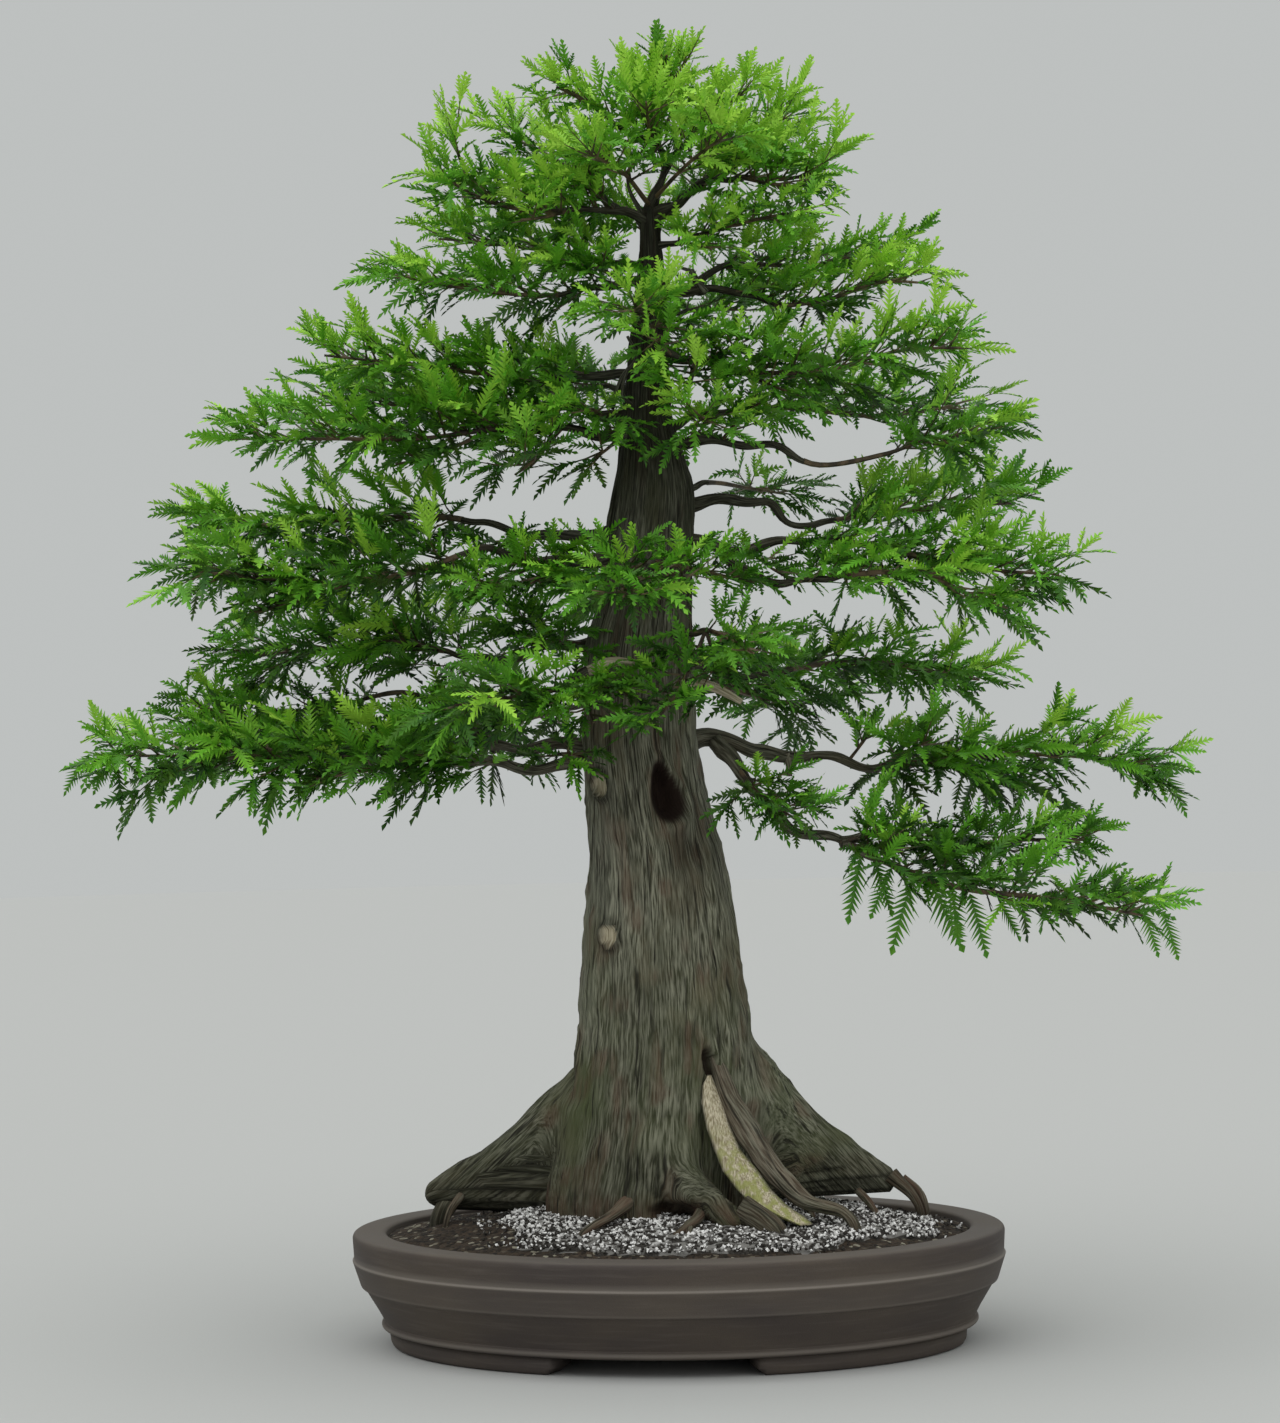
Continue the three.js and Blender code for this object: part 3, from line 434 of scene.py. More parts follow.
@dataclass(frozen=True)
class CypressBark(Finish):
    """Bark of bald cypress: soft grey strips that peel lengthwise, with algae low down and dark above.

    The eye sees fibres about 1 mm wide and 14 mm long in strips 4.5 mm wide, dark cracks between them,
    paler and darker patches as wide as a hand, bleached wood in the scars, and next to no gloss.
    """

    name: str = "cypress_bark"
    specular: float = 0.2
    relief: float = 0.0016
    fibre_width: float = 1.0
    strip_width: float = 4.5
    clouds_per_metre: Pair = (30.0, 22.0)
    patches_per_metre: Pair = (13.0, 6.0)
    specks_per_metre: Pair = (210.0, 150.0)

    def looks(self, add: Adder) -> dict[str, Any]:
        """Adds strips, cracks and fibres along the grain, then algae, darkness, bare wood and the hollows,
        with painted shade in the darkness and in the hollows.

        Args:
            add: Adds a node to the material.

        Returns:
            Sockets of colour, height and roughness.
        """
        grain = add(Node.GRAIN)
        fine, broad = 1 / (self.fibre_width * MM), 1 / (self.strip_width * MM)
        cells = (
            (fine, fine / 14, 4.0), (broad, broad / 10, 4.0), (1.7 * broad, broad / 9, 5.0),
            (*self.clouds_per_metre, 3.0), (*self.patches_per_metre, 2.0), (*self.specks_per_metre, 5.0),
        )
        fibre, strip, crack, cloud, patch, speck = (
            add(Node.NOISE, add(Node.STRETCH, grain, (across, across, along)), detail, 1.0)
            for across, along, detail in cells
        )
        dark, green, brown, bare, lichen, hollow = (
            add(Node.VALUE, attribute_name=name)
            for name in ("dark", "green", "brown", "bare", "lichen", "hollow")
        )
        colour = add(Node.BLEND, add(Node.RANGE, fibre, 0.38, 0.62), "3a392d", "9f9e8b")
        coats = (
            (strip, (0.36, 0.60, 0.5, 0.0), "38372c"),
            (patch, (0.5, 0.68, 0.0, 0.3), "a3a396"),
            (patch, (0.5, 0.34, 0.0, 0.35), "33332a"),
            (cloud, (0.52, 0.70, 0.0, 0.5), "746655"),
        )
        colour = coated(add, colour, coats)
        # The value dark holds the bark's own darkness and painted shade under the roots and by the left
        # root.
        for amount, pattern, span, shade in (
            (green, cloud, (0.36, 0.66, 0.25, 1.0), "505a38"),
            (brown, strip, (0.3, 0.6), "5e483b"),
            (dark, fibre, (0.3, 0.7, 1.0, 0.72), "1b1a12"),
        ):
            share = add(Node.TIMES, amount, add(Node.RANGE, pattern, *span))
            colour = add(Node.BLEND, share, colour, shade)
        colour = coated(add, colour, ((crack, (0.34, 0.44, 0.8, 0.0), "17150f"),))
        pale = add(Node.BLEND, add(Node.RANGE, fibre, 0.36, 0.64), "8f8468", "d8ceb4")
        crust = add(Node.TIMES, lichen, add(Node.RANGE, speck, 0.44, 0.56))
        pale = add(Node.BLEND, crust, pale, "9c9f5c")
        # Dark brown in the hollows: the wood's own brown deepened with painted shade.
        colour = add(Node.BLEND, hollow, add(Node.BLEND, bare, colour, pale), "261b15")
        low, high = add(Node.TIMES, fibre, 0.7), add(Node.TIMES, strip, 0.8)
        height = add(Node.PLUS, add(Node.PLUS, low, high), add(Node.TIMES, crack, 0.8))
        rough = add(Node.RANGE, strip, 0.3, 0.7, 0.82, 0.97)
        return {"Base Color": colour, "Height": height, "Roughness": rough}


@dataclass(frozen=True)
class CypressLeaf(Finish):
    """Soft needles in flat feathers, slightly waxy.

    The eye sees yellow-green where they are young and outside, deep green inside the pad, and a mottling
    about 11 mm wide. The tone also carries painted light: paler on the tops of the pads and on high stems.
    """

    name: str = "cypress_leaf"
    roughness: float = 0.55
    specular: float = 0.35
    mottles_per_metre: float = 90.0
    stops: tuple[tuple[float, str], ...] = (
        (0.0, "0e230a"), (0.32, "285c12"), (0.66, "5fa922"), (1.0, "aee24a"),
    )

    def looks(self, add: Adder) -> dict[str, Any]:
        """Runs from deep green to yellow-green by the value tone, with painted light, and to brown by the
        value woody.

        Args:
            add: Adds a node to the material.

        Returns:
            Socket of colour.
        """
        tone, woody = (add(Node.VALUE, attribute_name=name) for name in ("tone", "woody"))
        mottle = add(Node.NOISE, add(Node.PLACE), 2.0, self.mottles_per_metre)
        stops = [(tone, (low, high), shade) for (low, _), (high, shade) in zip(self.stops, self.stops[1:])]
        leaf = coated(add, self.stops[0][1], (*stops, (mottle, (0.35, 0.7, 0.0, 0.22), "84b02a")))
        twig = add(Node.BLEND, add(Node.RANGE, mottle, 0.4, 0.6), "3a3024", "6a5843")
        return {"Base Color": add(Node.BLEND, woody, leaf, twig)}


@dataclass(frozen=True)
class UnglazedClay(Finish):
    """Grey-brown stoneware, fired bare.

    The eye sees matt clay with grit 0.8 mm wide, cloudy firing tones, faint turning marks and pale dust;
    the pale bands on the ledges and rim top are partly painted highlight.
    """

    name: str = "unglazed_clay"
    roughness: float = 0.75
    relief: float = 0.00025
    grains_per_metre: float = 1200.0
    clouds_per_metre: Triple = (11.0, 11.0, 30.0)
    marks_per_metre: Triple = (25.0, 25.0, 400.0)

    def looks(self, add: Adder) -> dict[str, Any]:
        """Adds cloudy firing tones, grit, turning marks, and paler dust with painted highlight on the
        ledges.

        Args:
            add: Adds a node to the material.

        Returns:
            Sockets of colour, height and roughness.
        """
        place = add(Node.PLACE)
        grit = add(Node.NOISE, place, 2.0, self.grains_per_metre)
        cloud, streak = (
            add(Node.NOISE, add(Node.STRETCH, place, cells), 3.0, 1.0)
            for cells in (self.clouds_per_metre, self.marks_per_metre)
        )
        coats = (
            (cloud, (0.35, 0.68), "51483f"),
            (grit, (0.3, 0.75, 0.0, 0.35), "38322e"),
            (streak, (0.5, 0.75, 0.0, 0.2), "6c645d"),
        )
        # The value dust makes the ledges and rim top paler: dust, and painted highlight.
        dust = add(Node.VALUE, attribute_name="dust")
        colour = add(Node.BLEND, dust, coated(add, "413935", coats), "7d766e")
        height = add(Node.TIMES, add(Node.PLUS, grit, streak), 0.5)
        rough = add(Node.RANGE, cloud, 0.3, 0.7, 0.66, 0.82)
        return {"Base Color": colour, "Height": height, "Roughness": rough}


@dataclass(frozen=True)
class PottingSoil(Finish):
    """Dark crumbly bark and peat soil.

    The eye sees dark crumbs 2 to 5 mm wide with a few paler bits; they stand 1.5 mm out at their middles.
    """

    name: str = "potting_soil"
    roughness: float = 0.98
    relief: float = -0.0015
    crumbs_per_metre: float = 330.0

    def looks(self, add: Adder) -> dict[str, Any]:
        """Adds crumbs 3 mm wide as cells, each with its own shade.

        Args:
            add: Adds a node to the material.

        Returns:
            Sockets of colour and height.
        """
        place = add(Node.PLACE)
        shade = add(Node.RED, add(Node.CELL_SHADE, place, self.crumbs_per_metre))
        coats = ((shade, (0.0, 0.9), "43372b"), (shade, (0.9, 0.97), "8d8878"))
        colour = coated(add, "17120d", coats)
        height = add(Node.CELL_DISTANCE, place, self.crumbs_per_metre)
        return {"Base Color": colour, "Height": height}


@dataclass(frozen=True)
class PaleGrit(Finish):
    """Crushed white and grey stone mixed with dark bark bits, chips 2 to 5 mm.

    The eye sees dusty matt chips, each of one shade, from black to nearly white.
    """

    name: str = "pale_grit"
    roughness: float = 0.95
    relief: float = 0.0003
    dust_per_metre: float = 900.0

    def looks(self, add: Adder) -> dict[str, Any]:
        """Gives each chip its own shade by the value tone, with dust in noise 1 mm wide.

        Args:
            add: Adds a node to the material.

        Returns:
            Sockets of colour and height.
        """
        tone = add(Node.VALUE, attribute_name="tone")
        dust = add(Node.NOISE, add(Node.PLACE), 2.0, self.dust_per_metre)
        coats = (
            (tone, (0.27, 0.30), "7b7976"),
            (tone, (0.4, 0.7), "fbfaf8"),
            (dust, (0.35, 0.7, 0.0, 0.3), "6f6b64"),
        )
        return {"Base Color": coated(add, "1d1915", coats), "Height": dust}


@dataclass(frozen=True)
class MeshPlastic(Finish):
    """Moulded black plastic mesh.

    The eye sees a soft sheen under a thin film of dust.
    """

    name: str = "mesh_plastic"
    roughness: float = 0.5
    relief: float = 0.0001
    dust_per_metre: float = 500.0

    def looks(self, add: Adder) -> dict[str, Any]:
        """Adds a thin film of dust, 2 mm cloudy, to black plastic.

        Args:
            add: Adds a node to the material.

        Returns:
            Sockets of colour and height.
        """
        dust = add(Node.NOISE, add(Node.PLACE), 2.0, self.dust_per_metre)
        film = ((dust, (0.4, 0.8, 0.0, 0.4), "4a4740"),)
        return {"Base Color": coated(add, "191b1a", film), "Height": dust}


@dataclass(frozen=True)
class PaperFloor(Finish):
    """Pale backdrop paper.

    The eye sees an even matt grey with a trace of grain.
    """

    name: str = "backdrop_paper"
    roughness: float = 0.95
    fibres_per_metre: float = 500.0

    def looks(self, add: Adder) -> dict[str, Any]:
        """Adds paper grain 2 mm wide to an even pale grey."""
        grain = add(Node.NOISE, add(Node.PLACE), 1.0, self.fibres_per_metre)
        return {"Base Color": add(Node.BLEND, add(Node.RANGE, grain, 0.3, 0.7), "b8b9b7", "babbb9")}


BARK, LEAF, CLAY = CypressBark(), CypressLeaf(), UnglazedClay()
SOIL, GRIT, PLASTIC, PAPER = PottingSoil(), PaleGrit(), MeshPlastic(), PaperFloor()


@dataclass(frozen=True)
class Piece:
    """A finished piece: name, look, a slot that is not used, the solids it stands for, and its turn."""

    name: str
    finish: Finish
    slot: str
    stands_for: tuple[str, ...]
    turn: Turn
    smooth: bool = True

    def build(self, skin: Shell) -> Any:
        """Makes the mesh of a skin, dresses it, puts it under the root body and hides the solids it stands
        for.

        Args:
            skin: The skin in millimetres.

        Returns:
            The object.
        """
        mesh = bpy.data.meshes.new(self.name)
        corners = skin.triangles.astype(np.int32).ravel()
        mesh.vertices.add(len(skin.points))
        mesh.vertices.foreach_set("co", placed(skin.points, self.turn).astype(np.float32).ravel())
        mesh.loops.add(len(corners))
        mesh.loops.foreach_set("vertex_index", corners)
        mesh.polygons.add(len(corners) // 3)
        mesh.polygons.foreach_set("loop_start", np.arange(0, len(corners), 3, dtype=np.int32))
        mesh.update(calc_edges=True)
        mesh.validate()
        mesh.polygons.foreach_set("use_smooth", np.full(len(mesh.polygons), self.smooth))
        for name, values in skin.values.items():
            vector = values.ndim == 2
            layer = mesh.attributes.new(name, "FLOAT_VECTOR" if vector else "FLOAT", "POINT")
            layer.data.foreach_set("vector" if vector else "value", values.astype(np.float32).ravel())
        mesh.materials.append(self.finish.material())
        piece = bpy.data.objects.new(self.name, mesh)
        bpy.context.scene.collection.objects.link(piece)
        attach(piece, "root")
        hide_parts(*self.stands_for)
        LOG.info("%s: %d triangles", self.name, len(mesh.polygons))
        return piece


@dataclass(frozen=True)
class Root:
    """A surface root: points along its middle, half height at each, sides, breadth, and its look."""

    points: Triples
    radii: tuple[float, ...]
    sides: int = 20
    breadth: float = 1.0
    dark: float = 0.1
    green: float = 0.2
    brown: float = 0.3

    def path_and_radii(self, step: float) -> tuple[Array, Array]:
        """Points along the root's curve and the half height at each.

        Args:
            step: Distance between points.

        Returns:
            Rows of x, y, z, and the half heights.
        """
        corners = np.array(self.points, float)
        path, run = smooth_path(corners, step), run_length(corners)
        share = run_length(path)
        return path, np.interp(share / share[-1], run / run[-1], self.radii)


@dataclass(frozen=True)
class Limb:
    """A limb: points to its furthest leaf tip, radii, bare share, shoot length, lift, and leafiness."""

    name: str
    points: Triples
    radii: Pair
    bare: float
    shoot: float
    lift: float
    hang: float = 0.0
    leaf_from: float = -1.0

    def main_spray(self) -> "Spray":
        """The leafy stem that ends the limb, with twigs from where its leaves begin."""
        start = self.bare if self.leaf_from < 0 else self.leaf_from
        return Spray(self.points, self.radii[1], self.shoot, self.lift, self.hang, start, self.bare - 0.004)


@dataclass(frozen=True)
class Spray:
    """A leafy stem: points, radius, shoot length, lift, hang, and where its twigs and its wood begin."""

    points: Triples
    radius: float
    shoot: float
    lift: float
    hang: float = 0.0
    leaf_from: float = 0.1
    stem_from: float = 0.0


# Big roots that swell out of the trunk itself: middle points and half heights
FLARES = (
    Root(((28, 4, 178), (60, 6, 163), (87, 9, 146), (104, 11, 135), (122, 13, 127), (142, 14, 119),
         (163, 15, 109)), (46, 39, 29, 23, 18, 12, 9), breadth=0.72),
    Root(((-50, 14, 160), (-81, 20, 145), (-97, 22, 131), (-118, 24, 119), (-140, 26, 112),
         (-154, 25, 104)), (32, 25, 22, 16, 12, 9), breadth=0.8),
    Root(((24, 30, 170), (48, 58, 128), (70, 84, 106), (88, 104, 92)), (26, 20, 14, 9)),
    Root(((-40, 26, 170), (-60, 54, 128), (-78, 82, 104), (-88, 100, 90)), (26, 20, 14, 8)),
    Root(((0, -44, 140), (16, -58, 119), (38, -73, 103), (54, -82, 94)), (21, 14, 11, 9)),
)

# Slim roots that lie on the trunk's foot and dive into the soil
SLIM_ROOTS = (
    Root(((-148, 26, 108), (-160, 25, 98), (-168, 22, 84), (-170, 20, 62)), (8, 7.5, 7, 5), dark=0.45),
    Root(((-152, 18, 102), (-160, 8, 92), (-163, 0, 82), (-164, -4, 66)), (3, 2.4, 2, 1.6), 10, brown=0.9),
    Root(((152, 12, 111), (165, 7, 99), (171, 5, 88), (174, 3, 66)), (5.6, 3.8, 3, 2.4), 12, dark=0.3,
         brown=0.7),
    Root(((160, 16, 108), (172, 14, 98), (176, 10, 88), (178, 8, 66)), (3.4, 2.6, 2.2, 1.8), 10, brown=0.9),
    Root(((128, -2, 102), (136, -16, 93), (141, -26, 85), (143, -30, 66)), (3.2, 2.5, 2, 1.6), 10,
         brown=0.9),
    Root(((88, -30, 102), (92, -46, 94), (94, -54, 86), (95, -58, 66)), (3, 2.4, 2, 1.6), 10, brown=0.9),
    Root(((44, -78, 101), (58, -86, 93), (68, -93, 84), (72, -97, 64)), (9.6, 9.2, 8, 6), dark=0.35,
         brown=0.5),
    Root(((28, -40, 202), (40, -51, 168), (54, -57, 143), (70, -64, 121), (86, -71, 106), (101, -75, 101),
         (112, -78, 98), (119, -82, 91), (125, -88, 66)), (4.5, 8, 9.4, 8, 6.2, 4.6, 4.2, 3.8, 3.2), 22,
         brown=0.5),
    Root(((-30, -52, 108), (-44, -70, 98), (-58, -84, 92), (-66, -94, 87), (-70, -101, 70)),
         (6, 4, 3, 2.6, 2.2), 14, brown=0.9),
    Root(((20, -60, 108), (14, -80, 97), (4, -96, 91), (-4, -106, 85), (-6, -112, 70)), (6, 4, 3, 2.4, 2),
         14, brown=0.9),
    Root(((8, -90, 92), (7, -102, 88), (9, -110, 83), (10, -114, 70)), (2.6, 2.2, 1.8, 1.5), 10, brown=0.9),
    Root(((84, 100, 98), (92, 110, 84), (96, 114, 62)), (8, 7, 6)),
    Root(((-84, 94, 98), (-92, 106, 84), (-94, 110, 62)), (8, 7, 6)),
)

# Strip of bleached dead wood: left and right edge and face depth at heights, from its tip downwards
DEAD_WOOD = (
    (190, 22.5, 25.5, -49), (184, 19, 28, -50), (172, 18, 33, -54), (155, 21, 38, -60), (140, 26, 44, -65),
    (127, 31, 55, -70), (114, 41, 64, -76), (103, 52, 75, -82), (96, 68, 86, -86), (91, 80, 92, -88),
)

# Trunk outline up to the fork: height, left edge, right edge, half depth
TRUNK_OUTLINE = (
    (46, -66, 46, 46), (74, -84, 56, 57), (96, -92, 60, 61), (118, -86, 60, 60), (145, -80, 60, 58),
    (175, -74, 58, 56), (205, -69, 57, 54), (238, -64, 52, 52), (274, -61, 47, 49), (309, -57, 43, 46),
    (344, -55, 37, 42), (379, -56, 26, 38), (422, -58, 19, 35), (485, -56, 18, 33), (520, -45, 18, 29),
    (553, -40, 20, 28), (582, -38, 24, 28), (603, -31, 23, 25), (618, -29, 18, 22), (645, -26, 8, 17),
    (698, -21, 7, 13), (740, -13, 6, 9), (775, -12, 3, 7), (796, -10, 2, 5),
)

# Peeled stumps, a peg and a stub: points, radii, and how bare the wood is
STUBS = (
    (((-62, -46, 469), (-50, -52, 472), (-34, -60, 477), (-22, -64, 475)), (3, 4, 3.6, 2), 0.95),
    (((10, -12, 462), (30, -28, 459), (44, -36, 452), (52, -38, 447)), (4, 4, 3.2, 2), 0.95),
    (((84, 12, 410), (86, 12, 402), (86, 12, 394)), (3, 2.6, 2.4), 0.2),
    (((34, -3, 735), (27, -2, 744), (24, -2, 752)), (3, 2.6, 2), 0),
    (((26, -2, 750), (17, -2, 753)), (1.7, 1), 0),
    (((-6, -2, 790), (4, -3, 812), (12, -4, 826)), (2, 1.4, 0.8), 0),
    (((-10, -2, 792), (-18, -3, 808), (-20, -4, 822)), (2, 1.3, 0.8), 0),
    (((-34, -6, 655), (-26, -14, 676), (-16, -18, 690), (-22, -20, 704)), (2, 1.8, 1.4, 1), 0),
    (((-14, -8, 652), (-26, -16, 664), (-22, -20, 682)), (2, 1.6, 1), 0),
)

# Limbs: points to the furthest leaf tip, radius at the trunk and where the leaves begin, bare share,
# length of a leafy shoot, lift in degrees, how far the outer feathers hang, and where leaves start
LIMBS = tuple(Limb(*row) for row in (
    ("left_low_front", ((-40, -4, 416), (-80, -8, 404), (-139, -18, 410), (-254, -40, 414),
     (-335, -58, 418), (-420, -74, 420)), (5.5, 2.4), 0.36, 92, -2, 0.32, 0.2),
    ("left_low_back", ((-40, 10, 420), (-93, 16, 419), (-190, 35, 421), (-263, 55, 429), (-380, 84, 440)),
     (5, 2.3), 0.38, 86, -2, 0.2, 0.22),
    ("left_low_upper", ((-120, 22, 419), (-150, 42, 440), (-186, 62, 459), (-243, 82, 450),
     (-325, 104, 444)), (3.2, 2), 0.34, 46, -16, 0.1, 0.5),
    ("left_jin", ((-34, -20, 475), (-56, -54, 468), (-80, -78, 458), (-112, -104, 452), (-172, -146, 446)),
     (4.5, 2.2), 0.42, 73, -12, 0.2, 0.36),
    ("left_dark", ((-40, 8, 492), (-88, 16, 488), (-121, 30, 480), (-161, 47, 489), (-235, 80, 492),
     (-350, 124, 486)), (4.5, 2.2), 0.38, 92, 2, 0.21, 0.3),
    ("left_mid", ((-28, 4, 571), (-69, 10, 566), (-101, 14, 571), (-157, 24, 583), (-222, 36, 583),
     (-366, 62, 578)), (4.5, 2.2), 0.34, 89, -14, 0.15),
    ("left_mid_front", ((-28, -8, 552), (-79, -16, 547), (-128, -28, 556), (-169, -38, 543),
     (-217, -50, 535), (-356, -82, 548)), (4.5, 2.2), 0.35, 96, -10, 0.15),
    ("left_up_front", ((-18, -6, 634), (-70, -16, 640), (-119, -28, 640), (-167, -40, 634),
     (-228, -55, 634), (-318, -78, 634)), (4, 2), 0.3, 89, 6, 0, 0.24),
    ("left_up_back", ((-16, 6, 648), (-71, 18, 658), (-99, 26, 654), (-128, 34, 659), (-186, 50, 665),
     (-275, 74, 672)), (4, 2), 0.32, 86, 8, 0, 0.18),
    ("left_high", ((-12, 0, 678), (-42, -3, 680), (-77, -8, 675), (-126, -14, 681), (-181, -22, 688),
     (-268, -36, 698)), (3.6, 1.9), 0.27, 73, 10, 0, 0.14),
    ("left_top", ((-6, 0, 744), (-40, -6, 742), (-68, -10, 735), (-124, -20, 738), (-219, -36, 756)),
     (3.6, 1.8), 0.3, 73, 0, 0, 0.1),
    ("left_top_back", ((-5, 4, 752), (-37, 12, 761), (-61, 22, 767), (-126, 44, 780), (-190, 64, 788)),
     (3, 1.7), 0.27, 67, 12, 0, 0.12),
    ("crown_left", ((-3, 0, 785), (-34, -5, 796), (-60, -8, 794), (-109, -14, 798), (-178, -23, 836)),
     (3.4, 1.7), 0.36, 76, 12, 0, 0.14),
    ("crown_left_back", ((-28, -3, 795), (-46, 12, 812), (-67, 24, 833), (-96, 34, 850), (-140, 46, 872)),
     (2.6, 1.6), 0.3, 64, 28, 0, 0.1),
    ("right_low", ((6, 4, 417), (44, 6, 422), (65, 9, 410), (105, 15, 408), (151, 22, 399), (201, 30, 404),
     (274, 42, 405), (384, 60, 390)), (7, 2.6), 0.42, 90, -8, 0.1, 0.38),
    ("right_low_front", ((34, 3, 419), (48, -14, 403), (61, -24, 384), (84, -36, 360), (125, -52, 347),
     (158, -63, 329), (198, -74, 317), (264, -92, 308), (352, -114, 290)), (4.6, 2.4), 0.48, 84, 0, 0.08,
     0.36),
    ("right_low_inner", ((118, -50, 349), (151, -38, 353), (192, -30, 343), (250, -26, 347),
     (330, -22, 344)), (2.8, 1.8), 0.3, 62, 4, 0.1, 0.16),
    ("right_dark", ((4, 10, 478), (67, 28, 465), (96, 40, 471), (155, 58, 475), (206, 74, 463),
     (262, 92, 456)), (4, 2), 0.34, 80, -8, 0.1),
    ("right_mid", ((6, -2, 566), (37, -6, 556), (61, -12, 554), (96, -19, 560), (123, -25, 558),
     (178, -38, 545), (232, -50, 534), (307, -64, 528)), (5, 2.4), 0.42, 80, 0, 0.12, 0.34),
    ("right_mid_low", ((42, -8, 555), (55, -22, 538), (94, -44, 529), (128, -60, 533), (175, -80, 532),
     (206, -94, 517), (262, -118, 494)), (3.6, 2.1), 0.4, 70, -6, 0.2, 0.26),
    ("right_mid_back", ((10, 2, 586), (59, 12, 590), (76, 17, 588), (87, 22, 574), (112, 28, 574),
     (170, 44, 582), (290, 76, 588)), (4.4, 2.1), 0.42, 80, 8),
    ("right_up", ((2, 0, 630), (42, -4, 630), (76, -10, 626), (108, -16, 612), (153, -24, 617),
     (188, -30, 627), (262, -44, 634)), (4.2, 2.1), 0.38, 83, 0, 0, 0.6),
    ("right_up_back", ((0, 8, 640), (40, 40, 655), (102, 68, 658), (145, 81, 653), (192, 96, 656),
     (258, 116, 674)), (3.6, 2), 0.32, 73, 8, 0, 0.3),
    ("right_high", ((0, -4, 694), (49, -18, 680), (84, -30, 675), (118, -42, 676), (166, -60, 686),
     (240, -86, 684)), (3.6, 1.9), 0.3, 76, 6, 0, 0.22),
    ("right_top", ((0, 0, 737), (40, -3, 736), (65, -6, 734), (82, -9, 725), (121, -14, 728),
     (156, -19, 738), (217, -27, 732)), (3.4, 1.8), 0.38, 67, 8, 0, 0.22),
    ("right_top_back", ((28, -1, 737), (34, 12, 750), (66, 24, 757), (113, 37, 758), (160, 50, 770),
     (212, 64, 774)), (2.8, 1.7), 0.3, 60, 14, 0, 0.1),
    ("right_neck", ((-2, -2, 768), (30, -14, 774), (58, -28, 780), (92, -44, 784), (140, -64, 784)),
     (2.6, 1.6), 0.26, 54, 8, 0, 0.08),
    ("crown_right", ((-4, 0, 788), (16, -2, 800), (35, -4, 811), (60, -7, 815), (94, -10, 813),
     (158, -16, 832)), (4, 1.9), 0.44, 74, 18, 0, 0.2),
    ("crown_right_back", ((18, -2, 801), (46, 22, 825), (76, 38, 850), (128, 58, 880)), (2.6, 1.6), 0.32,
     66, 28, 0, 0.1),
    ("apex", ((-5, 0, 790), (0, 1, 808), (7, 1, 825), (-2, 2, 852), (2, 0, 922)), (4, 1.6), 0.5, 62, 48, 0,
     0.28),
    ("apex_left", ((2, 1, 838), (-24, -8, 852), (-46, -12, 868), (-100, -18, 896)), (2, 1.4), 0.27, 50, 24,
     0, 0.08),
    ("apex_right", ((6, 1, 824), (28, -10, 846), (48, -16, 862), (96, -26, 892)), (2, 1.4), 0.27, 54, 36, 0,
     0.08),
    ("front_high", ((-5, -4, 700), (-8, -40, 713), (-14, -72, 716), (-26, -132, 706)), (3, 1.7), 0.32, 60,
     6, 0, 0.18),
    ("front_middle", ((-8, -16, 548), (-12, -60, 542), (-20, -98, 528), (-34, -176, 512)), (3.2, 1.8), 0.34,
     66, -20, 0.15, 0.38),
    ("front_right", ((2, -18, 494), (28, -58, 497), (46, -90, 488), (72, -150, 470)), (3, 1.7), 0.34, 54,
     -20, 0.2, 0.3),
    ("back_low_left", ((-34, 18, 442), (-64, 80, 446), (-104, 132, 438), (-168, 214, 428)), (4.6, 2.1),
     0.32, 88, -10, 0.1, 0.42),
    ("back_low_right", ((-4, 20, 456), (34, 88, 460), (72, 140, 450), (126, 228, 440)), (4.6, 2.1), 0.32,
     92, 2, 0.24),
    ("back_middle", ((-14, 16, 522), (-22, 78, 532), (-36, 132, 528), (-50, 222, 520)), (4.2, 2), 0.32, 89,
     4),
    ("back_middle_right", ((0, 14, 592), (32, 66, 606), (64, 110, 604), (112, 184, 600)), (3.8, 1.9), 0.32,
     48, -8, 0, 0.55),
    ("back_high_left", ((-12, 8, 662), (-36, 52, 676), (-66, 92, 676), (-112, 160, 680)), (3.4, 1.8), 0.3,
     70, 8, 0, 0.25),
    ("back_high_right", ((-4, 6, 716), (22, 48, 728), (44, 82, 732), (78, 144, 738)), (3, 1.7), 0.3, 64, 10,
     0, 0.25),
    ("back_top", ((-6, 2, 772), (-12, 36, 790), (-20, 66, 804), (-32, 122, 822)), (2.6, 1.6), 0.3, 62, 20,
     0, 0.15),
))

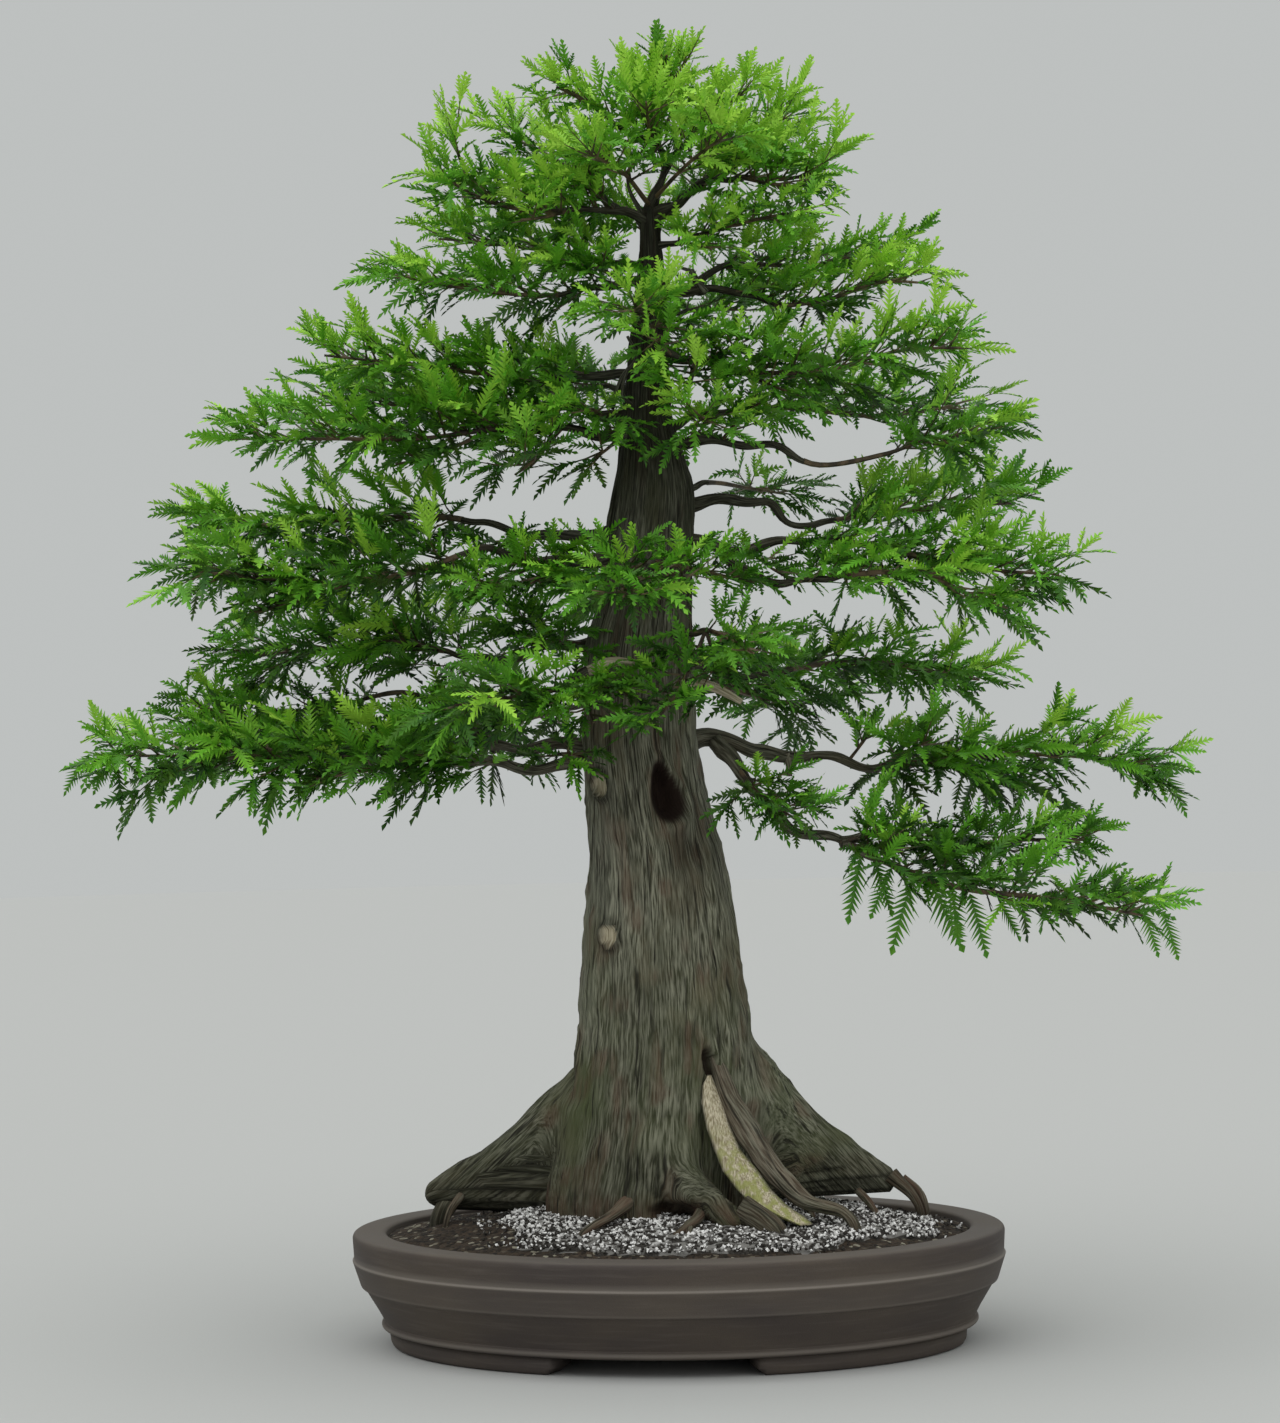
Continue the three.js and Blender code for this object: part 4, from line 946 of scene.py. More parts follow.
# Smaller leafy branches of each limb: points, radius, shoot, lift, hang, and where leaves start
BRANCHES = {
    "crown_left": (
        (((-5, -2, 798), (-22, -40, 815), (-44, -84, 822), (-60, -124, 828)), 1.8, 56, 14, 0, 0.2),
        (((-34, -5, 796), (-50, -26, 826), (-66, -46, 856)), 1.6, 50, 34),
        (((-60, -8, 794), (-84, -30, 786), (-124, -56, 782)), 1.6, 50, 6),
        (((-130, -17, 812), (-140, -20, 848), (-134, -22, 892)), 1.3, 40, 50, 0, 0.2),
    ),
    "crown_right": (
        (((0, -2, 803), (24, -38, 822), (48, -76, 834), (62, -112, 840)), 1.8, 56, 16, 0, 0.2),
        (((35, -4, 811), (54, -22, 838), (70, -44, 862)), 1.6, 50, 34),
        (((60, -7, 815), (84, -30, 806), (122, -56, 800)), 1.6, 50, 6),
    ),
    "apex": (
        (((0, 0, 826), (-4, -32, 850), (-6, -66, 864), (-8, -92, 870)), 1.6, 52, 26),
        (((2, 0, 846), (-14, -20, 872), (-30, -36, 898)), 1.4, 46, 44, 0, 0.05),
        (((0, 1, 860), (8, -10, 886), (16, -18, 918)), 1.3, 44, 50, 0, 0.05),
        (((0, 1, 860), (-16, 4, 888), (-30, 6, 917)), 1.3, 44, 50, 0, 0.05),
        (((2, 2, 846), (20, 22, 876), (38, 36, 900)), 1.4, 46, 44, 0, 0.05),
        (((0, 0, 872), (10, -14, 902), (2, -24, 934)), 1.2, 42, 56),
        (((0, 0, 866), (24, -8, 898), (46, -12, 930)), 1.2, 42, 50),
    ),
    "crown_right_back": ((((76, 38, 850), (96, 20, 862), (124, 4, 866)), 1.3, 44, 20),),
    "left_up_front": (
        (((-26, -8, 636), (-48, -22, 618), (-80, -34, 602)), 1.6, 54, -8, 0, 0.2),
        (((-70, -16, 640), (-92, -42, 614), (-126, -72, 592)), 1.7, 60, -2),
        (((-34, -9, 637), (-44, -44, 650), (-64, -88, 652)), 1.7, 56, 4),
        (((-119, -28, 640), (-160, -34, 622), (-220, -40, 612)), 1.6, 54, -6, 0.05),
    ),
    "left_jin": (
        (((-80, -78, 458), (-92, -98, 438), (-110, -116, 420)), 1.5, 54, -10, 0.1),
        (((-42, -34, 472), (-32, -66, 458), (-10, -104, 440)), 1.6, 54, -14, 0.1, 0.25),
        (((-56, -54, 468), (-70, -86, 452), (-88, -124, 438)), 1.6, 54, -4, 0.1),
        (((-56, -54, 468), (-52, -86, 440), (-38, -122, 418)), 1.5, 54, -8, 0.1, 0.15),
    ),
    "front_right": (
        (((28, -58, 497), (36, -84, 466), (44, -108, 440)), 1.5, 46, -12, 0.1, 0.3),
        (((14, -38, 496), (16, -72, 478), (8, -112, 462)), 1.6, 44, -8, 0.15, 0.2),
        (((28, -58, 497), (12, -84, 462), (-4, -112, 440), (-24, -136, 420)), 1.5, 54, -10, 0.1, 0.25),
    ),
    "right_neck": ((((16, -8, 771), (34, -40, 762), (54, -78, 752)), 1.6, 46, 4),),
    "left_top": ((((-24, -3, 743), (-40, -38, 750), (-62, -78, 750)), 1.6, 50, 8),),
    "left_up_back": ((((-71, 18, 658), (-86, 4, 622), (-124, -14, 594)), 1.7, 60, 0),),
    "left_mid_front": (
        (((-62, -14, 549), (-84, -48, 536), (-112, -86, 520)), 1.7, 62, -4, 0.1),
        (((-79, -16, 547), (-100, -44, 540), (-130, -66, 528), (-162, -84, 514)), 1.6, 60, -8, 0.05, 0.05),
        (((-217, -50, 535), (-260, -70, 520), (-318, -84, 508)), 1.5, 48, -8, 0.1),
    ),
    "left_dark": (
        (((-66, 12, 490), (-92, -14, 504), (-136, -40, 518)), 1.7, 60, 2),
        (((-58, 11, 491), (-84, -28, 492), (-120, -66, 488)), 1.7, 62, 0),
        (((-161, 47, 489), (-196, 30, 496), (-236, 12, 494)), 1.6, 60, 2),
    ),
    "front_middle": (
        (((-10, -40, 545), (-34, -74, 536), (-66, -112, 524)), 1.6, 56, -2, 0.1, 0.15),
        (((-10, -40, 545), (14, -76, 532), (42, -110, 516)), 1.6, 50, -6, 0.1, 0.2),
        (((-9, -24, 547), (18, -46, 540), (58, -62, 530), (96, -70, 520)), 1.5, 44, -8, 0.1, 0.25),
    ),
    "right_high": (
        (((30, -12, 686), (50, -44, 692), (78, -84, 694)), 1.7, 56, 6),
        (((56, -20, 679), (80, -44, 664), (112, -72, 652)), 1.6, 50, 2),
        (((25, -11, 688), (22, -38, 676), (20, -70, 662), (14, -104, 650)), 1.5, 54, -4, 0.1),
    ),
    "right_up": (
        (((42, -4, 630), (62, -34, 650), (94, -66, 662)), 1.6, 52, 8),
        (((20, -2, 630), (26, -36, 642), (30, -70, 642), (34, -100, 632)), 1.5, 54, 4, 0.05),
    ),
    "right_mid": ((((60, -12, 554), (76, -44, 538), (104, -78, 520)), 1.6, 50, -8, 0.1, 0.15),),
    "right_dark": ((((40, 20, 472), (66, -4, 484), (106, -26, 492)), 1.7, 56, 2),),
    "right_low_front": (
        (((48, -14, 403), (60, -44, 386), (84, -76, 368), (118, -100, 352)), 1.8, 56, -12, 0.1, 0.12),
        (((61, -24, 384), (84, -50, 366), (106, -66, 350)), 1.6, 44, -4, 0.1, 0.15),
        (((125, -52, 347), (150, -72, 344), (188, -98, 336)), 1.6, 54, 8, 0.05),
    ),
    "right_low_inner": ((((118, -50, 349), (146, -56, 356), (180, -60, 356)), 1.6, 50, 10, 0, 0.15),),
    "left_mid": ((((-101, 14, 571), (-118, -10, 556), (-142, -30, 540)), 1.5, 54, -10),),
    "front_high": ((((-8, -40, 713), (-2, -60, 700), (8, -84, 684), (20, -112, 668)), 1.5, 56, -6, 0.1),),
    "right_low": (
        (((128, 18.5, 403.5), (146, 6, 428), (160, 0, 458)), 1.4, 38, 34),
        (((151, 22, 399), (176, -8, 414), (214, -34, 430)), 1.8, 60, 6, 0.1),
    ),
    "left_low_back": ((((-263, 55, 429), (-310, 48, 446), (-372, 40, 460)), 1.5, 54, 8),),
    "apex_left": ((((-46, -12, 868), (-70, -14, 888), (-92, -16, 914)), 1.3, 38, 40, 0, 0.2),),
    "left_low_front": (
        (((-56, -6, 410), (-72, -38, 414), (-92, -84, 408)), 1.5, 46, -8, 0.1, 0.2),
        (((-170, -25, 411), (-216, -52, 404), (-276, -72, 396)), 1.6, 52, -8, 0.1),
        (((-254, -40, 414), (-300, -30, 428), (-352, -34, 438)), 1.5, 50, 2, 0.05),
    ),
}

# Feathers that hang from each limb: place, heading, lift and roll in degrees, and length
HANGING = {
    "right_low_front": (
        ((132, -54, 341), 190, -76, 75, 44),
        ((140, -57, 338), 10, -72, 70, 40),
        ((152, -60, 331), 200, -62, 110, 36),
        ((166, -65, 323), 180, -70, 100, 47),
        ((178, -68, 321), 0, -64, 90, 50),
        ((192, -72, 317), -80, -64, 10, 38),
        ((204, -75, 313), -15, -74, 70, 40),
        ((222, -80, 312), 20, -60, 60, 34),
        ((318, -104, 302), -20, -70, 80, 30),
        ((331, -107, 300), -10, -72, 95, 32),
    ),
    "right_low": (((356, 56, 394), -20, -60, 75, 34),),
    "left_low_front": (
        ((-396, -70, 420), 190, -50, 80, 28),
        ((-380, -68, 420), 200, -60, 95, 29),
        ((-362, -64, 419), 250, -64, 40, 28),
        ((-346, -60, 419), 260, -66, 20, 30),
    ),
}


@dataclass(frozen=True)
class Hollow:
    """A place on the front of the trunk that sinks in: middle, half width and height, depth, tilt and lip.

    It is at full depth up to the share inner of the way to its edge, and level again at outer. The lip is
    its height, and its place and width as shares of the way to the edge. The taper is how much narrower its
    top is than its middle.
    """

    x: float
    z: float
    half_width: float
    half_height: float
    depth: float
    tilt: float = 0.0
    inner: float = 0.5
    outer: float = 1.0
    lip: Triple = (0.0, 1.0, 1.0)
    taper: float = 0.0

    def share(self, x: Array, z: Array) -> Array:
        """Distance from the middle as a share of the way to the oval's edge, turned by the tilt.

        Args:
            x: Places across.
            z: Heights.

        Returns:
            The shares.
        """
        c, s = math.cos(math.radians(self.tilt)), math.sin(math.radians(self.tilt))
        across, along = c * (x - self.x) + s * (z - self.z), c * (z - self.z) - s * (x - self.x)
        along = along / self.half_height
        return np.hypot(across / (self.half_width * np.clip(1 - self.taper * along, 0.4, 1.6)), along)

    def relief(self, share: Array) -> Array:
        """How far the bark stands out: a bell for the lip, less the depth times a smooth step."""
        height, place, width = self.lip
        return height * bell(share, place, width) - self.depth * (1 - ease(self.inner, self.outer, share))


@dataclass
class Trunk:
    """The flared trunk with the big roots that swell out of it, as one skin over angle and height.

    A row of ring_rows is the first and last height of rings and their step. A row of crowding is the
    angle, gain and width of a place where columns stand closer. A row of ridges is a layer of bark: its
    cells round and along, its share of the bark's depth, and its seed. A shade that ends in above or below
    grows from the first height to the second.
    """

    knot_hole: Hollow = Hollow(-2.5, 387, 10, 22, 14, tilt=16, outer=1.04, lip=(3.2, 1.22, 0.2), taper=0.38)
    knot_swirl: Hollow = Hollow(12, 345, 14, 22, 3, tilt=8, inner=0.3)
    cavity: Hollow = Hollow(25, 196, 5, 15, 9, tilt=14, inner=0.6, lip=(2.2, 1.3, 0.25))
    foot_recess: Hollow = Hollow(0, 99, 22, 8, 9)
    upper_scar: Hollow = Hollow(-47, 391, 4.6, 8, 2, tilt=10, inner=0.7, lip=(2.4, 1.25, 0.22))
    lower_scar: Hollow = Hollow(-43, 287, 5.2, 7.2, 2, inner=0.7, lip=(2.4, 1.25, 0.22))
    columns: int = 180
    blend: float = 7.0
    bark_depth: float = 3.0
    ragged: float = 0.4
    fray: float = 0.22
    grain_radius: float = 52.0
    shoulder: Pair = (205, 240)
    smooth_rings: int = 6
    smooth_width: float = 3.54
    lattice_height: float = 800.0
    dark_above: Pair = (470, 600)
    dark_below: Pair = (220, 96)
    green_below: Pair = (330, 150)
    green_above: Pair = (480, 560)
    muddy_below: Pair = (116, 96)
    ring_rows: Triples = (
        (58, 230, 2.4), (230, 350, 3.6), (350, 424, 2.2), (424, 520, 4), (520, 797, 5.4),
    )
    crowding: Triples = (
        (0.05, 2.6, 0.25), (2.87, 2.2, 0.25), (4.95, 1.5, 0.55), (0.88, 0.9, 0.2), (2.3, 0.9, 0.2),
    )
    ridges: tuple[tuple[int, int, float, int], ...] = (
        (9, 4, 0.9, 5), (24, 12, 0.9, 6), (54, 26, 0.9, 7), (88, 60, 0.48, 8),
    )

    def angles(self) -> Array:
        """Angles of the columns: even steps of the running total of 1 + gain times a bell.

        Returns:
            Angles from 0 to a full turn.
        """
        even = np.linspace(0, CIRCLE, 2001)
        crowd = np.ones_like(even)
        for middle, gain, width in self.crowding:
            crowd += gain * bell((even - middle + CIRCLE / 2) % CIRCLE - CIRCLE / 2, 0.0, width)
        share = np.concatenate([[0], np.cumsum((crowd[1:] + crowd[:-1]) / 2)])
        return np.interp(np.arange(self.columns) / self.columns, share / share[-1], even)

    def outline(self, height: Array) -> tuple[Array, ...]:
        """The oval of the trunk at heights, smoothed over neighbouring rings with a bell's weights.

        Args:
            height: Heights of the rings.

        Returns:
            Half width, half depth, and the middle of the width.
        """
        table = np.array(TRUNK_OUTLINE, float)
        left, right, deep = (np.interp(height, table[:, 0], table[:, k]) for k in (1, 2, 3))
        weights = bell(np.arange(-float(self.smooth_rings), self.smooth_rings + 1), 0.0, self.smooth_width)
        weights = weights / weights.sum()
        rows = ((right - left) / 2, deep, (left + right) / 2)
        padded = (np.pad(row, self.smooth_rings, mode="edge") for row in rows)
        return tuple(np.convolve(row, weights, "valid") for row in padded)

    def flare_reach(self, root: Root, angle: Array, height: Array) -> Array:
        """How far a ray from the trunk's middle goes before it leaves a big root.

        The root is a row of ovals; at a height each is a circle, and a ray at an angle leaves a circle of
        radius r with its centre at distance c along the ray and o beside it at c + sqrt(r^2 - o^2). Below
        their middles the ovals are stretched by two sines along the root, so that its underside is ragged.

        Args:
            root: The root.
            angle: Angles of the columns.
            height: Heights of the rings.

        Returns:
            Distances with the shape (rings, columns), nought where the ray misses.
        """
        path, radius = root.path_and_radii(3.0)
        run = run_length(path)
        rise = height[:, None] - path[:, 2]
        rise = rise * np.where(rise < 0, 1 + self.ragged * np.sin(run / 4.3) * np.sin(run / 11.0 + 1), 1)
        across = root.breadth * np.sqrt(np.maximum(radius**2 - rise**2, 0))
        c, s = np.cos(angle)[:, None], np.sin(angle)[:, None]
        along, beside = c * path[:, 0] + s * path[:, 1], c * path[:, 1] - s * path[:, 0]
        inside = across[:, None, :] ** 2 - beside[None] ** 2
        reach = np.where((inside > 0) & (along[None] > 0), along[None] + np.sqrt(np.maximum(inside, 0)), 0)
        return reach.max(axis=2)

    def body(self, angle: Array, height: Array, spread: Array, deep: Array) -> Array:
        """Distance from the trunk's middle to its surface, without bark.

        It is the smooth greater one of the oval and each root, w ln(sum of e^(r / w)), and above the roots'
        shoulders the oval alone. A root that a ray misses adds e^0 to the sum, so 0.9 comes off for each.

        Args:
            angle: Angles of the columns.
            height: Heights of the rings.
            spread: Half width of each ring.
            deep: Half depth of each ring.

        Returns:
            Distances with the shape (rings, columns).
        """
        oval = 1 / np.hypot(np.cos(angle) / spread[:, None], np.sin(angle) / deep[:, None])
        reach = np.stack([oval, *(self.flare_reach(root, angle, height) for root in FLARES)])
        swollen = self.blend * np.log(np.exp(reach / self.blend).sum(0) - 0.9 * len(FLARES))
        fade = ease(*self.shoulder, height)[:, None]
        return swollen * (1 - fade) + oval * fade

    def barked(self, radius: Array, u: Array, v: Array) -> Array:
        """Adds layers of ridges 1 - |2 noise - 1| that run up the trunk, and lumps, rougher near the top.

        Args:
            radius: Distances from the middle.
            u: Share of the way round.
            v: Height as a share of lattice_height.

        Returns:
            Distances with bark.
        """
        warp = 0.035 * (noise(u, v, (5, 9), 3) - 0.5)
        size = np.clip(radius / 50, 0.35, 1.2)
        for cells_round, cells_along, depth, seed in self.ridges:
            ridge = 1 - np.abs(2 * noise(u + warp, v, (cells_round, cells_along), seed) - 1)
            radius = radius + self.bark_depth * size * depth * (ridge - 0.55)
        rough = 0.9 + 2.1 * ease(0.675, 0.8, v)
        return radius + rough * (noise(u, v, (14, 60), 11) - 0.5)

    def shades(
        self, radius: Array, u: Array, v: Array, height: Array, shares: list[Array]
    ) -> Named:
        """Where the bark is dark, green, brown, bare or hollow.

        It is dark near the top, at the foot but for the right root and round the scars, and has painted
        shade under the roots and left of the left root; it is green low down and in cloudy patches. Inside
        the
        hollows it is dark brown: the wood's brown deepened with painted shade.

        Args:
            radius: Distances from the middle.
            u: Share of the way round.
            v: Height as a share of lattice_height.
            height: Heights.
            shares: Shares of the way to the edge of each hollow.

        Returns:
            Values from 0 to 1 by name.
        """
        hole, swirl, cave, recess, *scars = shares
        scar, front = np.minimum(*scars), u > 0.5
        edge = noise(u, v, (30, 40), 13)
        dark = 0.84 * ease(*self.dark_above, height + 50 * (edge - 0.5))
        foot = ease(*self.dark_below, height)
        dark = dark + (0.34 - 0.26 * ease(0.85, 0.95, u)) * foot
        # Painted shade: a darker band by the left root, up to 230 mm high.
        dark = dark + 0.16 * (1 - ease(0, 0.10, np.abs(u - 0.46))) * ease(230, 160, height)
        dark = dark + 0.55 * bell(swirl, 0.2, 0.75) + 0.85 * bell(scar, 1.38, 0.34)
        # Painted shade: darker below 170 mm where the radius grows with height, on the roots' undersides.
        dark = dark + 0.5 * ease(3.0, 12.0, np.gradient(radius, axis=0)) * (height < 170)
        green = 0.24 + 0.42 * ease(*self.green_below, height)
        green = green + 0.25 * ease(*self.green_above, height)
        brown = 0.75 * ease(*self.muddy_below, height) * front
        brown = brown + 0.55 * ease(0.55, 0.8, edge) * (0.3 + 0.7 * front)
        # The value hollow: painted shade inside the knot hole, the cavity and the foot recess.
        hollow = (1 - ease(0.92, 1.14, hole)) + 0.9 * (1 - ease(0.7, 1.05, cave))
        hollow = hollow + 0.7 * (1 - ease(0.5, 1.1, recess))
        return {
            "dark": np.clip(dark, 0, 0.95),
            "green": np.clip(green * (0.45 + 0.9 * noise(u, v, (12, 9), 17)), 0, 1),
            "brown": np.clip(brown, 0, 1),
            "bare": 0.92 * (1 - ease(0.85, 1.05, scar)),
            "hollow": np.clip(hollow, 0, 1),
        }

    def skin(self) -> Shell:
        """Works out the trunk over angle and height: body, bark, hollows, and the grain of the bark.

        The grain lies on a cylinder of grain_radius, and turns out along the flares where the radius grows.

        Returns:
            The closed skin with its values.
        """
        z, angle = np.concatenate([np.arange(*row) for row in self.ring_rows]), self.angles()
        spread, deep, middle = self.outline(z)
        u, v, height = np.broadcast_arrays(angle / CIRCLE, z[:, None] / self.lattice_height, z[:, None])
        radius = self.barked(self.body(angle, z, spread, deep), u, v)
        c, s = np.cos(angle)[None], np.sin(angle)[None]
        x, front = middle[:, None] + radius * c, u > 0.5
        hollows = [self.knot_hole, self.knot_swirl, self.cavity, self.foot_recess]
        hollows += [self.upper_scar, self.lower_scar]
        shares = [np.where(front, hollow.share(x, height), FAR_OUT) for hollow in hollows]
        shares[0] = shares[0] + self.fray * (noise(u, v, (22, 34), 19) - 0.5)
        radius = radius + sum(hollow.relief(share) for hollow, share in zip(hollows, shares))
        skin = ring_skin(np.stack([middle[:, None] + radius * c, radius * s, height], axis=-1))
        flare = ease(68, 92, radius)
        across = self.grain_radius * c + 0.7 * flare * (radius + height - 250)
        along = (1 - flare) * height + 0.7 * flare * (height - radius + 150)
        values = self.shades(radius, u, v, height, shares)
        values["grain"] = np.stack([across, self.grain_radius * s + 0 * across, along], -1) * MM
        skin.values |= {name: ring_values(value) for name, value in values.items()}
        return skin


def root_skin(root: Root, seed: int) -> Shell:
    """A slim root as a knobbly tube, darker where it meets the soil.

    Args:
        root: The root.
        seed: Seed of its knobs.

    Returns:
        The skin with its values.
    """
    path, radii = root.path_and_radii(3.0)
    skin = tube(path, radii, root.sides, root.breadth, 0.16, seed)
    shade = np.clip(root.dark + 0.5 * ease(96, 82, skin.points[:, 2]), 0, 0.9)
    return skin.with_values(dark=shade, green=root.green, brown=root.brown)


@dataclass
class DeadWood:
    """The bleached strip: a flat-faced wedge between two edges, given by its outline at heights."""

    rows: int = 60
    face_points: int = 15
    back_points: int = 5
    crown: float = 3.5
    thickness: float = 11.0
    split_depth: float = 1.6
    border_from: float = 0.72
    lichen_heights: Pair = (165, 125)

    def skin(self) -> Shell:
        """Works out the strip ring by ring: along the face, and back behind it.

        The face is crowned by crown times sin(pi u)^0.6, with lengthwise splits, and bends back with the
        square of u - 0.3.

        Returns:
            The skin with its values.
        """
        outline = np.array(DEAD_WOOD, float)
        height = np.linspace(outline[0, 0], outline[-1, 0], self.rows)
        edges = (np.interp(-height, -outline[:, 0], outline[:, k])[:, None] for k in (1, 2, 3))
        left, right, depth = edges
        face, back = np.linspace(0, 1, self.face_points), np.linspace(1, 0, self.back_points + 2)[1:-1]
        u = np.concatenate([face, back])
        border = ease(self.border_from, 1.0, 2 * np.abs(face - 0.5))
        border = np.concatenate([border, 1 + 0 * back])
        crown = np.concatenate([-self.crown * np.sin(math.pi * face) ** 0.6, self.thickness + 0 * back])
        across, along = np.broadcast_arrays(0.5 * u, np.linspace(0, 1, self.rows)[:, None])
        split = self.split_depth * (noise(across, along, (14, 9), 31) - 0.5)
        y = depth + crown + split + 6 * (u - 0.3) ** 2
        rings = np.stack([left + (right - left) * u, y, np.broadcast_to(height[:, None], y.shape)], -1)
        skin = ring_skin(rings[::-1])
        border = ring_values(np.broadcast_to(border, y.shape))
        lichen = 0.85 * ease(*self.lichen_heights, skin.points[:, 2])
        skin.with_values(grain=skin.points * MM, dark=0.7 * border, lichen=lichen)
        return skin.with_values(bare=0.97 - 0.7 * border)


@dataclass
class BareWood:
    """Trunk, roots, bare limbs and stubs: one piece of wood."""

    trunk: Trunk = field(default_factory=Trunk)
    dead_wood: DeadWood = field(default_factory=DeadWood)
    ring_step: float = 3.4
    stub_step: float = 2.4
    sides: int = 10
    collar: float = 0.5
    collar_run: float = 22.0
    wander: float = 2.0
    limb_knobs: float = 0.17
    stub_knobs: float = 0.15
    dark_above: Pair = (400, 620)

    def limb_skin(self, limb: Limb, seed: int) -> Shell:
        """The bare part of a limb: a crooked tube with a collar at the trunk, dark above and grey below.

        Args:
            limb: The limb.
            seed: Seed of its knobs.

        Returns:
            The skin with its values.
        """
        path = smooth_path(np.array(limb.points, float), self.ring_step, (0.0, limb.bare))
        run = run_length(path)
        thick, thin = limb.radii
        swell = 1 + self.collar * np.exp(-run / self.collar_run)
        radii = (thick + (thin - thick) * (run / run[-1]) ** 0.7) * swell
        radii = radii * (1 + 0.13 * np.sin(run / 7.0 + seed) * np.sin(run / 17.0 + 2 * seed))
        sway = np.stack([0 * run, np.sin(run / 10.0 + seed), np.cos(run / 8.0 + 2 * seed)], 1)
        fade = ease(0, 25, run) * ease(0, 18, run[-1] - run)
        path = path + self.wander * sway * fade[:, None]
        skin = tube(path, radii, self.sides, 1.0, self.limb_knobs, seed)
        dark = 0.42 + 0.38 * ease(*self.dark_above, skin.points[:, 2])
        return skin.with_values(dark=dark, green=0.15, brown=0.2)

    def skin(self) -> Shell:
        """Joins the trunk, roots, dead wood, limbs and stubs.

        Returns:
            The skin of all the wood.
        """
        parts = [self.trunk.skin(), self.dead_wood.skin()]
        parts += [root_skin(root, 40 + i) for i, root in enumerate(SLIM_ROOTS)]
        parts += [self.limb_skin(limb, 3 * i + 1) for i, limb in enumerate(LIMBS)]
        for i, (corners, radii, bare) in enumerate(STUBS):
            path = smooth_path(np.array(corners, float), self.stub_step)
            run = run_length(path)
            size = np.interp(run / run[-1], np.linspace(0, 1, len(radii)), radii)
            stub = tube(path, size, self.sides, 1.0, self.stub_knobs, 90 + i)
            parts.append(stub.with_values(dark=0.5 * (1 - bare), bare=bare))
        return joined(parts)

    def build(self) -> None:
        """Makes the piece of wood."""
        Piece("tree_wood", BARK, "bark", ("wood",), Turn.TREE).build(self.skin())


def feather_shape(pairs: int, seed: int) -> tuple[Array, Array, Array]:
    """One feather of a length of one: pairs of needles on a rib, as a thin closed blade cut between them.

    At the place s along the rib a needle reaches 0.185 min(1, 0.45 + 2.2 s) (1 - s^2)^0.9 outward and more
    than that forward; the cut before the next one goes in to a fifth of it. Both halves fold up a little.

    Args:
        pairs: Needle pairs.
        seed: Seed of the small differences between needles.

    Returns:
        Points as rows of along, across, up; triangles; and how near each point is to a needle's tip.
    """
    rng = np.random.default_rng(seed)
    share = np.arange(pairs) / pairs
    place, thickness = 0.94 * share, 0.024
    rib = np.stack([place, 0 * share, 0.5 * thickness + 0 * share], 1)
    reach = 0.185 * np.minimum(1, 0.45 + 2.2 * share) * (1 - share**2) ** 0.9
    reach = reach * rng.uniform(0.86, 1.14, (2, pairs))
    ahead = reach * rng.uniform(0.95, 1.35, (2, pairs)) + 0.35 / pairs
    fold = rng.uniform(-0.01, 0.06, (2, pairs))
    hand = np.array([1.0, -1.0])[:, None]
    tips = np.stack([place + ahead, hand * reach, fold], -1).reshape(-1, 3)
    cuts = np.stack([place + 0.1 * ahead, 0.2 * hand * reach, 0.2 * fold], -1)[:, 1:].reshape(-1, 3)
    points = np.concatenate([rib, rib - [0, 0, thickness], [[1.0, 0, 0]], tips, cuts])
    end, faces = 2 * pairs, []
    for side in (0, 1):
        tip, cut = end + 1 + side * pairs, end + 1 + 2 * pairs + side * (pairs - 1)
        for below in (0, pairs):
            half = [[below + i, tip + i, cut + i if i < pairs - 1 else end] for i in range(pairs)]
            half += [[below + i, cut + i, below + i + 1] for i in range(pairs - 1)]
            faces += [face if (below > 0) == (side == 0) else face[::-1] for face in half]
        seam = [0, tip, pairs]
        faces.append(seam if side == 1 else seam[::-1])
    near_tip = np.concatenate([np.zeros(2 * pairs), [1.0], np.ones(2 * pairs), np.full(2 * pairs - 2, 0.3)])
    return points, np.array(faces), near_tip


